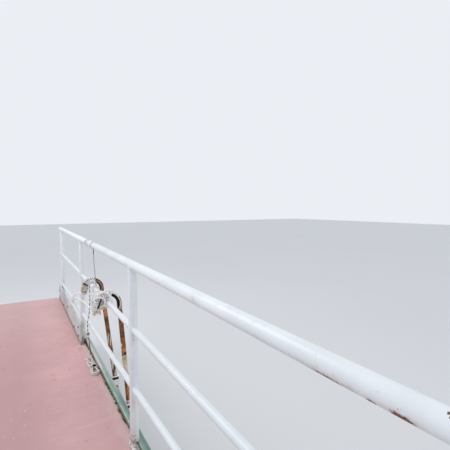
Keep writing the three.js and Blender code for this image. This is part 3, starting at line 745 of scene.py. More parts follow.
def block(name, low, high, finish, edge=0.0, segments=2):
    """A plate or bar between two corners, its edges eased where a size is given."""
    low, high = Vector(low), Vector(high)
    deselect()
    bpy.ops.mesh.primitive_cube_add(size=1.0, location=(low + high) / 2)
    bpy.context.object.scale = high - low
    piece = settle(name, finish)
    if edge:
        edit(piece, "EDGE")
        bpy.ops.mesh.select_all(action="SELECT")
        bpy.ops.mesh.bevel(offset=edge, segments=segments, affect="EDGES")
        settle(name, smooth=30)
    return piece


def pipe(name, start, end, radius, finish, sides, wall, rim=0.0012, hollow=0.03):
    """A round pipe between two points, with eased rims, and open at both ends where it has a wall."""
    start, end = Vector(start), Vector(end)
    run = end - start
    deselect()
    bpy.ops.mesh.primitive_cylinder_add(
        vertices=sides, radius=radius, depth=run.length, location=(start + end) / 2,
        rotation=run.to_track_quat("Z", "Y").to_euler())
    piece = settle(name, finish)
    tip = run.normalized()
    edit(piece)
    pick(lambda face: abs(face.normal.dot(tip)) > 0.99)
    bpy.ops.mesh.region_to_loop()
    bpy.ops.mesh.bevel(offset=rim, segments=2, affect="EDGES")
    if wall:
        bpy.ops.mesh.select_mode(type="FACE")
        pick(lambda face: abs(face.normal.dot(tip)) > 0.99 and len(face.verts) > 8)
        bpy.ops.mesh.inset(thickness=wall, use_individual=True)
        bpy.ops.mesh.extrude_region_shrink_fatten(TRANSFORM_OT_shrink_fatten={"value": -hollow})
    return settle(name, smooth=35)


def round_about(steps, count=None):
    """Angles in equal steps of a full turn: one turn of them, or as many as asked for."""
    return [2 * math.pi * i / steps for i in range(steps if count is None else count)]


def smooth_line(points, step):
    """Points about a step apart on the centripetal curve through the given ones, as the routes are drawn."""
    given = [Vector(p) for p in points]
    given = [2 * given[0] - given[1], *given, 2 * given[-1] - given[-2]]
    line = []
    for a, b, c, d in zip(given, given[1:], given[2:], given[3:]):
        t1 = (b - a).length ** 0.5
        t2 = t1 + (c - b).length ** 0.5
        t3 = t2 + (d - c).length ** 0.5
        count = max(1, round((c - b).length / step))
        for i in range(count):
            t = t1 + (t2 - t1) * i / count
            p = a.lerp(b, t / t1)
            q = b.lerp(c, (t - t1) / (t2 - t1))
            r = c.lerp(d, (t - t2) / (t3 - t2))
            s = p.lerp(q, t / t2)
            u = q.lerp(r, (t - t1) / (t3 - t1))
            line.append(s.lerp(u, (t - t1) / (t2 - t1)))
    return line + [given[-2]]


def drawn(name, line, closed=False):
    """A curve object along the points of a line."""
    data = bpy.data.curves.new(name, "CURVE")
    data.dimensions = "3D"
    data.twist_mode = "MINIMUM"
    spline = data.splines.new("POLY")
    spline.points.add(len(line) - 1)
    for point, place in zip(spline.points, line):
        point.co = (*place, 1.0)
    spline.use_cyclic_u = closed
    piece = bpy.data.objects.new(name, data)
    bpy.context.scene.collection.objects.link(piece)
    return piece


def as_mesh(piece):
    """Turns a curve into a mesh with its seams closed and its faces outward."""
    activate(piece)
    bpy.ops.object.convert(target="MESH")
    edit(bpy.context.object)
    bpy.ops.mesh.select_all(action="SELECT")
    bpy.ops.mesh.remove_doubles(threshold=1e-6)
    bpy.ops.mesh.normals_make_consistent(inside=False)
    bpy.ops.object.mode_set(mode="OBJECT")


def rope(name, line, radius, finish, strands, lay, around=6):
    """A laid rope: a lobed section carried along a line, turning once in so many diameters."""
    groove = 0.26
    lobes = []
    for angle in round_about(strands * around):
        swell = abs(math.cos(strands * angle / 2)) ** 0.7
        lobes.append(Vector((math.cos(angle), math.sin(angle), 0)) * radius * (1 - groove + groove * swell))
    section = drawn(name + "_section", lobes, closed=True)
    section.data.dimensions = "2D"
    piece = drawn(name, line)
    piece.data.bevel_mode = "OBJECT"
    piece.data.bevel_object = section
    piece.data.use_fill_caps = True
    run = 0.0
    for i, point in enumerate(piece.data.splines[0].points):
        if i:
            run += (line[i] - line[i - 1]).length
        point.tilt = 2 * math.pi * run / (lay * 2 * radius)
    as_mesh(piece)
    bpy.data.objects.remove(section)
    return settle(name, finish, smooth=50)


def tube(name, line, radius, finish, closed=False, sides=8):
    """A round wire or bead along a line."""
    piece = drawn(name, line, closed)
    piece.data.bevel_depth = radius
    piece.data.bevel_resolution = sides // 2 - 2
    piece.data.use_fill_caps = not closed
    as_mesh(piece)
    return settle(name, finish, smooth=50)


def unevenness(turns, seed):
    """How far each turn wanders, from -1 to 1, as a function of the turn."""
    dice = random.Random(seed)
    nudge = [dice.uniform(-1, 1) for _ in range(int(turns) + 3)]

    def wander(turn):
        j = int(turn)
        return nudge[j] * (1 - (turn - j)) + nudge[j + 1] * (turn - j)
    return wander


def wound(bar_z, start, end, radius, turns, loose, seed):
    """A line wound so many turns round a bar along the boat, its turns a little uneven."""
    steps = 26
    total = int(turns * steps)
    wander = unevenness(turns, seed)
    line = []
    for i, angle in enumerate(round_about(steps, total + 1)):
        turn = i / steps
        y = start + (end - start) * i / total + wander(turn) * loose
        out = radius + 0.0006 * math.sin(5.1 * turn + seed)
        line.append(Vector((RAIL_X + out * math.cos(angle + 0.6), y, bar_z(y) + out * math.sin(angle + 0.6))))
    return line


# Sizes and colours that a user may change

def colour_setting(name, description, default):
    return FloatVectorProperty(
        name=name, description=description, subtype="COLOR", default=default, min=0, max=1)


def length_setting(name, description, default):
    return FloatProperty(name=name, description=description, default=default, unit="LENGTH")


class StageSettings(bpy.types.PropertyGroup):
    floor_colour: colour_setting("Floor", "Colour of the plain floor", (0.70, 0.71, 0.72))
    sky_strength: FloatProperty(
        name="Sky", description="Strength of the soft light from all round", default=0.95, min=0)
    lamp_power: FloatProperty(
        name="Lamp", description="Power of the large soft lamp above the deck", default=140.0, min=0,
        unit="POWER")
    eye_height: length_setting("Eye height", "Height of the camera above the deck", 1.32)


class DeckSettings(bpy.types.PropertyGroup):
    deck_colour: colour_setting("Deck", "Red of the deck paint", (0.630, 0.376, 0.382))
    dust_colour: colour_setting("Dust", "Dust that gathers along the coaming", (0.64, 0.465, 0.445))
    edge_colour: colour_setting("Coaming", "Sea-green of the coaming", (0.215, 0.375, 0.295))
    strake_colour: colour_setting("Strake", "Dull green of the rubbing strake", (0.20, 0.315, 0.255))
    hull_colour: colour_setting("Hull", "Grey of the hull side", (0.40, 0.45, 0.44))
    board_colour: colour_setting("Toe board", "Grey of the toe board", (0.62, 0.63, 0.63))
    chips: IntProperty(
        name="Chips", description="Number of loose paint chips on the deck", default=150, min=1)


class RailSettings(bpy.types.PropertyGroup):
    paint: colour_setting("Paint", "White of the rail's gloss paint", (0.84, 0.87, 0.90))
    pipe_radius: length_setting("Pipe", "Radius of the top rail and posts", 0.02415)
    bar_radius: length_setting("Bar", "Radius of the two lower bars", 0.01685)


class LadderSettings(bpy.types.PropertyGroup):
    rust: colour_setting("Rust", "Orange of the loose rust", (0.30, 0.115, 0.045))
    scale: colour_setting("Scale", "Dark brown of the scale under it", (0.07, 0.032, 0.02))
    tube_radius: length_setting("Stringer", "Radius of the stringers and hooks", 0.01685)
    rung_radius: length_setting("Rung", "Radius of the rungs", 0.0135)
    pad_colour: colour_setting("Pad", "White of the stand-off pads", (0.96, 0.96, 0.93))


class RopeSettings(bpy.types.PropertyGroup):
    white: colour_setting("White rope", "Colour of the lashings", (0.97, 0.96, 0.94))
    cream: colour_setting("Cream rope", "Colour of the guy and the slack rope", (0.95, 0.94, 0.90))
    brown: colour_setting("Brown rope", "Colour of the older rope at the far hook's tip", (0.90, 0.79, 0.62))
    grey: colour_setting("Grey cord", "Colour of the lanyard", (0.46, 0.48, 0.48))
    lay: FloatProperty(
        name="Lay", description="Length in diameters in which the strands turn once", default=3.2, min=1)


class SIDEDECK_OT_stage(bpy.types.Operator):
    """Makes the camera, the soft light and the plain floor"""
    bl_idname = "side_deck.stage"
    bl_label = "Camera, light and floor"

    def execute(self, context):
        stage = context.scene.side_deck_stage
        deselect()
        bpy.ops.object.camera_add(
            location=(*EYE_PLACE, DECK + stage.eye_height),
            rotation=(math.radians(90 - EYE_DOWN), 0, math.radians(-EYE_RIGHT)))
        camera = context.object
        camera.name = "camera"
        camera.data.lens, camera.data.sensor_width = 27.2, 36.0
        camera.data.clip_start, camera.data.clip_end = 0.02, 200
        context.scene.camera = camera

        bpy.ops.mesh.primitive_plane_add(size=90, location=(0, 0, FLOOR_Z))
        floor = settle("floor")
        plain = Finish("pale_floor", 0.2)
        tone = tuple(stage.floor_colour)
        plain.base = plain.mix(plain.blotches(0.35, 2.0, 0.3, 0.7), shade(tone, 0.985), tone)
        floor.data.materials.append(plain.done(0.85))

        world = bpy.data.worlds.new("soft_sky")
        context.scene.world = world
        world.use_nodes = True
        back = world.node_tree.nodes["Background"]
        back.inputs["Color"].default_value = (0.88, 0.91, 0.96, 1)
        back.inputs["Strength"].default_value = stage.sky_strength
        context.scene.view_settings.view_transform = "Standard"

        bpy.ops.object.light_add(type="AREA", location=(-2.0, 2.4, 6.0))
        lamp = context.object
        lamp.name = "soft_lamp"
        lamp.data.shape, lamp.data.size = "DISK", 4.5
        lamp.data.energy = stage.lamp_power
        lamp.data.color = (1.0, 0.985, 0.96)
        towards = Vector((0.8, 0.4, 0.3)) - lamp.location
        lamp.rotation_euler = towards.to_track_quat("-Z", "Y").to_euler()
        return {"FINISHED"}


def overhand_knot(name, centre, size, radius, finish, tilt=0.0):
    """Three crossing loops of a line drawn into a small flat knot."""
    long, wide, thick = size
    loops = []
    for t in round_about(60, 61):
        reach = 1 + 0.34 * math.cos(3 * t)
        spot = Vector((long * reach * math.cos(2 * t), wide * reach * math.sin(2 * t),
                       thick * math.sin(3 * t)))
        spot.rotate(Matrix.Rotation(tilt, 3, "X"))
        loops.append(Vector(centre) + spot)
    return rope(name, loops, radius, finish, 2, 4.5)


class SIDEDECK_OT_loose_cords(bpy.types.Operator):
    """Lays the five free ropes and cords along their routes"""
    bl_idname = "side_deck.loose_cords"
    bl_label = "Free ropes and cords"

    def execute(self, context):
        ropes = context.scene.side_deck_rope
        lanyard_end = (0.900, 0.249, 1.066)
        cream = rope_finish(tuple(ropes.cream), "cream_rope", 0.30)
        grey = rope_finish(tuple(ropes.grey), "grey_cord", 0.4, 600.0, 0.1, lanyard_end)
        black = rope_finish((0.012, 0.011, 0.011), "black_strap", 0.3, 600.0, 0.02)
        twisted = two_tone_finish("twisted_cord", (0.045, 0.04, 0.035), (0.76, 0.74, 0.70))
        kinds = {
            "guy_rope": (cream, 3, "section", "rope", "medium"),
            "slack_rope": (cream, 3, "section", "rope", "medium"),
            "lanyard": (grey, 3, "section", "dark_cord", "limp"),
            "tie_strap": (black, 3, "ladder", "dark_cord", "limp"),
            "hanging_cord": (twisted, 2, "section", "dark_cord", "limp"),
        }
        ties = bundle_ties(ropes)
        stiff = rope_finish((0.36, 0.25, 0.16), "knotted_cord", 0.5, 500.0)
        pale_end = rope_finish(tuple(ropes.white), "pale_knot", 0.1, 500.0)
        knots = join([overhand_knot("cord_knot", (0.8805, 0.464, DECK + 0.206), (0.0068, 0.0085, 0.0018),
                                    0.0042, stiff, 1.2),
                      overhand_knot("cord_knot_pale", (0.8800, 0.462, DECK + 0.190), (0.0058, 0.0068, 0.0018),
                                    0.0038, pale_end, 1.0)], "cord_knots")
        fit(knots, "section", "rope")
        for name, (finish, strands, body, slot, stiffness) in kinds.items():
            radius, route = CORDS[name]
            nodes, turn, around, ends = [name], ropes.lay, 6, {"far_end": "object"}
            if name == "hanging_cord":
                route = route[:-2] + bundle_run()
                nodes, turn, around = [name, "cord_bundle"], TWISTED_LAY, 8
                ends = {"far_end": "knot", "with_pieces": [ties, knots]}
            route = [(x, y, z + DECK) for x, y, z in route]
            line = smooth_line(route, max(0.0035, radius * 0.8))
            cord = rope(name + "_line", line, radius, finish, strands, turn, around)
            fit(cord, body, slot, *nodes)
        return {"FINISHED"}


# The bundle on the deck: its middle, where its folds begin, and where it is tied
BUNDLE_X, BUNDLE_AFT, BUNDLE_FORWARD, BUNDLE_TIE = 0.871, 0.104, 0.370, 0.215
KNOT_AT = (0.879, 0.197)
# Its runs in order: how far to the side they start and end, and how high
BUNDLE_RUNS = ((0.0262, 0.0262, 0.0050), (-0.0262, -0.0262, 0.0050), (0.0196, 0.0196, 0.0114),
               (-0.0196, -0.0196, 0.0114), (0.0225, -0.0225, 0.0190), (0.0225, -0.0225, 0.0225))


def bundle_run():
    """The hanging cord's last three loops, laid to and fro on the deck, in metres above it."""
    run = []
    for i, (side, across, z) in enumerate(BUNDLE_RUNS):
        start, end = (BUNDLE_FORWARD, BUNDLE_AFT) if i % 2 == 0 else (BUNDLE_AFT, BUNDLE_FORWARD)
        for share in (0.0, 0.14, 0.28, 0.42, 0.56, 0.70, 0.84, 1.0):
            y = start + (end - start) * share
            tied = math.exp(-((y - BUNDLE_TIE) / 0.045) ** 2)
            sway = 0.0012 * math.sin(2.7 * i + 6 * share)
            wide = side + (across - side) * share
            over = 0.0040 * math.exp(-((share - 0.5) / 0.2) ** 2) if i == len(BUNDLE_RUNS) - 1 else 0.0
            run.append((BUNDLE_X + wide * (1 - 0.25 * tied) + sway, y, z + 0.0015 * tied + over))
        if i < len(BUNDLE_RUNS) - 1:
            after, _, z_after = BUNDLE_RUNS[i + 1]
            out = -1 if end < start else 1
            middle_x, reach = (across + after) / 2, (across - after) / 2
            for angle in (30, 60, 90, 120, 150):
                a = math.radians(angle)
                run.append((BUNDLE_X + middle_x + reach * math.cos(a), end + out * abs(reach) * math.sin(a),
                            z + (z_after - z) * angle / 180 + 0.0010 * math.sin(a)))
    return run


def bundle_ties(ropes):
    """What binds the bundle on the deck: turns round its middle, a black knot, and its frayed end."""
    pale = rope_finish(shade(tuple(ropes.white), 0.95), "frayed_cord", 0.35, 500.0)
    black = rope_finish((0.010, 0.009, 0.009), "black_twine", 0.2, 600.0, 0.02)
    dice = random.Random(12)
    made = []
    for turn in range(3):
        y = BUNDLE_TIE - 0.010 + turn * 0.0080
        ring = [Vector((BUNDLE_X + 0.0262 * math.cos(a), y + 0.0008 * math.sin(3 * a),
                        DECK + 0.0170 + 0.0142 * math.sin(a))) for a in round_about(22, 23)]
        made.append(rope(f"bundle_tie_{turn}", ring, 0.0026, pale, 2, 4.5))
    _, side, z = BUNDLE_RUNS[-1]
    last = Vector((BUNDLE_X + side, BUNDLE_FORWARD, DECK + z))
    for strand in range(26):
        wide, rise = dice.uniform(-1, 1), dice.uniform(0.1, 1)
        start = last + Vector((0.002 * wide, -0.001, 0.002 * rise))
        end = last + Vector((0.012 * wide - 0.004, 0.014 + dice.uniform(0, 0.012), -0.014 + 0.010 * rise))
        bow = (start + end) / 2 + Vector((0.002 * wide, 0, 0.002))
        line = smooth_line([start, bow, end], 0.006)
        made.append(tube(f"bundle_fray_{strand}", line, 0.0008, pale, sides=6))
    made.append(overhand_knot("bundle_knot", (*KNOT_AT, DECK + 0.0300), (0.0085, 0.0100, 0.0020), 0.0040,
                              black))
    return fit(join(made, "bundle_ties"), "section", "rope")


class SIDEDECK_OT_deck_and_edge(bpy.types.Operator):
    """Finishes the deck, coaming, strake, hull side, web and frames"""
    bl_idname = "side_deck.deck_and_edge"
    bl_label = "Deck, coaming and hull side"

    def execute(self, context):
        deck = context.scene.side_deck_plates
        hull = hull_finish(tuple(deck.hull_colour), "grey_hull_paint")
        inside = hull_finish(shade(tuple(deck.hull_colour), 0.85), "grey_frame_paint", 0.7)
        self.dress(["deck_plate"], deck_finish(tuple(deck.deck_colour), tuple(deck.dust_colour)))
        self.dress(["inboard_web", "hull_side_plate"], hull)
        self.dress([f"deck_frame_{i}" for i in range(1, 8)], inside, edge=0.001)
        self.coaming(tuple(deck.edge_colour))
        dice = random.Random(5)
        self.foot_scabs(dice)
        self.strake(tuple(deck.strake_colour), dice)
        return {"FINISHED"}

    def dress(self, names, finish, edge=0.0):
        """Gives CAD nodes their finish, and eased edges where a size is given."""
        for name in names:
            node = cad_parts[name]
            node.data.materials.clear()
            node.data.materials.append(finish)
            if edge:
                weld = node.modifiers.new("weld", "WELD")
                weld.merge_threshold = 1e-5
                ease = node.modifiers.new("ease", "BEVEL")
                ease.width, ease.segments, ease.limit_method = edge, 2, "ANGLE"
                ease.angle_limit = math.radians(30)

    def coaming(self, colour):
        """The bar on edge along the deck, its long edges eased and its faces a little uneven."""
        end = HALF - 0.001
        bar = block("coaming_bar", (COAMING_IN, -end, DECK - 0.006), (COAMING_OUT, end, COAMING_TOP),
                    coaming_finish(colour))
        edit(bar, "EDGE")
        pick(lambda edge: abs(way(edge).y) > 0.9, "edges")
        bpy.ops.mesh.bevel(offset=0.0030, segments=3, affect="EDGES")
        divide(bar, 260)
        roughen(bar, 0.045, 0.0016)
        fit(settle("coaming_bar", smooth=40), "section", "edge_paint", "edge_coaming")

    def foot_scabs(self, dice):
        """Seam of sealant and scabs of rust along the coaming's foot, thick in places and gone in others."""
        rust = plain_worn_finish("coaming_scabs", (0.045, 0.030, 0.024), 0.9, (0.20, 0.085, 0.045), 90.0)
        deselect()
        bpy.ops.mesh.primitive_ico_sphere_add(subdivisions=2, radius=1.0, location=(0, 0, 0))
        lump = settle("scab_pattern", rust, smooth=60)
        sizes = [(y, (dice.uniform(0.006, 0.0105) * (1.5 if y > 0.6 else 1), long * 0.5,
                      dice.uniform(0.004, 0.008))) for y, long in LARGE_SCABS]
        y = -HALF + 0.01
        while y < HALF - 0.02:
            long = dice.uniform(0.006, 0.026)
            if dice.random() < 0.50:
                sizes.append((y, (dice.uniform(0.0014, 0.0042), long * 0.6, dice.uniform(0.0015, 0.0055))))
            y += long * dice.uniform(0.9, 2.6)
        scabs = scattered(lump, "coaming_foot_scabs", [
            (size, (0, 0, dice.uniform(-0.16, 0.16)), (COAMING_IN - 0.0008, y, DECK + 0.0002))
            for y, size in sizes])
        roughen(scabs, 0.006, 0.0030)
        fit(scabs, "section", "rusty_steel")

    def strake(self, colour, dice):
        """The rubbing strake: rounded outside, with knocks along it."""
        left = COAMING_OUT + 0.00035
        right = left + STRAKE_WIDE
        green = hull_finish(colour, "green_strake_paint", 0.6, (0.42, 0.47, 0.47))
        bar = block("strake_bar", (left, -HALF, DECK - 0.066), (right, HALF, DECK - 0.004), green)
        edit(bar, "EDGE")
        pick(lambda edge: abs(way(edge).y) > 0.9 and edge.verts[0].co.x > right - 0.001, "edges")
        bpy.ops.mesh.bevel(offset=0.0135, segments=6, affect="EDGES")
        pick(lambda edge: abs(way(edge).y) > 0.9, "edges")
        bpy.ops.mesh.subdivide(number_cuts=160)
        bpy.ops.mesh.select_mode(type="VERT")
        pick(lambda vert: vert.co.x > left + 0.01 and dice.random() < 0.22 and abs(vert.co.y) < HALF - 0.01,
             "verts")
        bpy.ops.transform.translate(value=(-0.0012, 0, 0), use_proportional_edit=False)
        fit(settle("strake_bar", smooth=40), "section", "hull_paint", "rubbing_strake")


class SIDEDECK_OT_guard_rail(bpy.types.Operator):
    """Builds the rails, posts, feet, their welds and the collar"""
    bl_idname = "side_deck.guard_rail"
    bl_label = "Guard rail"

    def execute(self, context):
        rail = context.scene.side_deck_rail
        pipe_r, bar_r = rail.pipe_radius, rail.bar_radius
        white = rail_finish(tuple(rail.paint))
        posts_white = post_finish(tuple(rail.paint))
        joint = 0.0004
        for name, node, height, start, end, radius, sides in (
                ("top_rail_pipe_aft", "top_rail_aft", top_rail_z, -HALF, SLEEVE_Y - joint, pipe_r, 48),
                ("top_rail_pipe_forward", "top_rail_forward", top_rail_z, SLEEVE_Y + joint, HALF, pipe_r, 48),
                ("middle_bar", "mid_rail", mid_bar_z, -HALF, HALF, bar_r, 36),
                ("lower_bar", "lower_rail", low_bar_z, 0.0006 - HALF, HALF - 0.0006, bar_r, 36)):
            bar = pipe(name, (RAIL_X, start, height(start)), (RAIL_X, end, height(end)), radius, white, sides,
                       wall=0.0032)
            fit(bar, "section", "rail_paint", node)
        beads = []
        for number, y in enumerate(POSTS_Y, 1):
            post = pipe(f"post_pipe_{number}", (RAIL_X, y, FOOT_TOP), (RAIL_X, y, TOP_Z - 0.010), pipe_r,
                        posts_white, 48, wall=0)
            fit(post, "section", "rail_paint", f"rail_post_{number}")
            fit(self.foot(number, y, posts_white), "section", "rail_paint", f"post_foot_{number}")
            for side in (-1, 1):
                for z in (MID_Z, low_bar_z(y)):
                    beads.append(self.bar_bead(y, z, bar_r + 0.0008, pipe_r + 0.0006, side, posts_white))
            saddle = []
            for angle in round_about(36):
                x, along = pipe_r * math.cos(angle), pipe_r * math.sin(angle)
                drop = math.sqrt(max((pipe_r + 0.0012) ** 2 - x * x, 0))
                saddle.append(Vector((RAIL_X + x * 1.01, y + along * 1.05, TOP_Z - drop - 0.0008)))
            beads.append(tube("bead", saddle, 0.0036, posts_white, closed=True))
            ring = [Vector((RAIL_X + (pipe_r + 0.0016) * math.cos(a), y + (pipe_r + 0.0016) * math.sin(a),
                            DECK + 0.0078)) for a in round_about(40)]
            beads.append(tube("bead", ring, 0.0038, posts_white, closed=True))
        welds = join(beads, "rail_welds")
        roughen(welds, 0.007, 0.0026)
        fit(welds, "section", "rail_paint")
        self.collar()
        return {"FINISHED"}

    def bar_bead(self, y, z, radius, post_radius, side, finish):
        """A weld bead where a bar along the boat meets a post."""
        line = []
        for angle in round_about(28):
            x, up = radius * math.cos(angle), radius * math.sin(angle)
            line.append(Vector((RAIL_X + x, y + side * math.sqrt(max(post_radius ** 2 - x * x, 0)), z + up)))
        return tube("bead", line, 0.0034, finish, closed=True)

    def foot(self, number, y, finish):
        """A foot plate that reaches the coaming, with its two bolts."""
        half, bolt_out = 0.048, 0.0395
        plate = block(f"foot_plate_{number}", (RAIL_X - 0.0235, y - half, DECK + 0.0004),
                      (COAMING_IN - 0.0004, y + half, FOOT_TOP), finish, 0.0012)
        bolts = [bolt(f"foot_bolt_{number}", (RAIL_X - 0.008, y + side * bolt_out, FOOT_TOP), (0, 0, 1),
                      0.0058, finish) for side in (-1, 1)]
        return join([plate, *bolts], f"foot_plate_{number}")

    def collar(self):
        """The collar where the top rail's two lengths meet, with a groove sunk round it near each end."""
        half, radius = 0.032, 0.0295
        sleeve = pipe("collar_ring", (RAIL_X, SLEEVE_Y - half, TOP_Z), (RAIL_X, SLEEVE_Y + half, TOP_Z),
                      radius, collar_finish(), sides=48, wall=0.0045, rim=0.0018, hollow=0.002)
        edit(sleeve, "EDGE")
        pick(lambda edge: abs(way(edge).y) > 0.95 and edge.calc_length() > 0.05, "edges")
        bpy.ops.mesh.subdivide(number_cuts=8)
        bpy.ops.mesh.select_mode(type="FACE")

        def near_an_end(face):
            at = face.calc_center_median()
            outside = (at - Vector((RAIL_X, at.y, TOP_Z))).length > radius - 0.0015
            return abs(face.normal.y) < 0.2 and 0.013 < abs(at.y - SLEEVE_Y) < 0.022 and outside

        pick(near_an_end)
        bpy.ops.mesh.inset(thickness=0.0008)
        bpy.ops.transform.shrink_fatten(value=-0.0012)
        fit(settle("collar_ring", smooth=35), "section", "collar", "top_rail_sleeve")


def bolt(name, at, out, radius, finish):
    """A hexagon bolt head on its washer, standing out along a direction."""
    out = Vector(out)
    turn = out.to_track_quat("Z", "Y").to_euler()

    def disc(name, sides, width, thick, lift):
        deselect()
        bpy.ops.mesh.primitive_cylinder_add(vertices=sides, radius=radius * width, depth=radius * thick,
                                            location=Vector(at) + out * (radius * lift), rotation=turn)
        return settle(name, finish)

    edit(disc(name, 6, 1, 0.72, 0.58))
    pick(lambda face: face.normal.dot(out) > 0.9)
    bpy.ops.mesh.inset(thickness=radius * 0.16)
    bpy.ops.transform.translate(value=out * radius * 0.08)
    head = settle(name, smooth=25)
    edit(disc(name + "_washer", 24, 1.5, 0.3, 0.12), "EDGE")
    pick(lambda edge: abs(way(edge).dot(out)) < 0.2, "edges")
    bpy.ops.mesh.bevel(offset=radius * 0.08, segments=2, affect="EDGES")
    return join([head, settle(name + "_washer", smooth=30)], name)


class SIDEDECK_OT_toe_board(bpy.types.Operator):
    """Builds the toe board and its bolts"""
    bl_idname = "side_deck.toe_board"
    bl_label = "Toe board"

    def execute(self, context):
        grey = board_finish(tuple(context.scene.side_deck_plates.board_colour))
        dark = plain_worn_finish("rusty_bolts", (0.045, 0.03, 0.025), 0.85, (0.16, 0.07, 0.035), 120.0)
        low, high = (0.8575, 0.770, DECK + 0.002), (0.8755, 2.700, DECK + 0.206)
        board = block("toe_board_plank", low, high, grey, 0.0028, 3)
        divide(board, 60)
        roughen(board, 0.16, 0.0016, 1)
        fit(settle("toe_board_plank", smooth=35), "section", "board_paint", "toe_board")
        bolts = [bolt(f"board_bolt_{i}", (low[0] + 0.0003, y, DECK + z), (-1, 0, 0), 0.0075, dark)
                 for i, (y, z) in enumerate(BOARD_BOLTS)]
        fit(join(bolts, "toe_board_bolts"), "section", "rusty_steel")
        return {"FINISHED"}


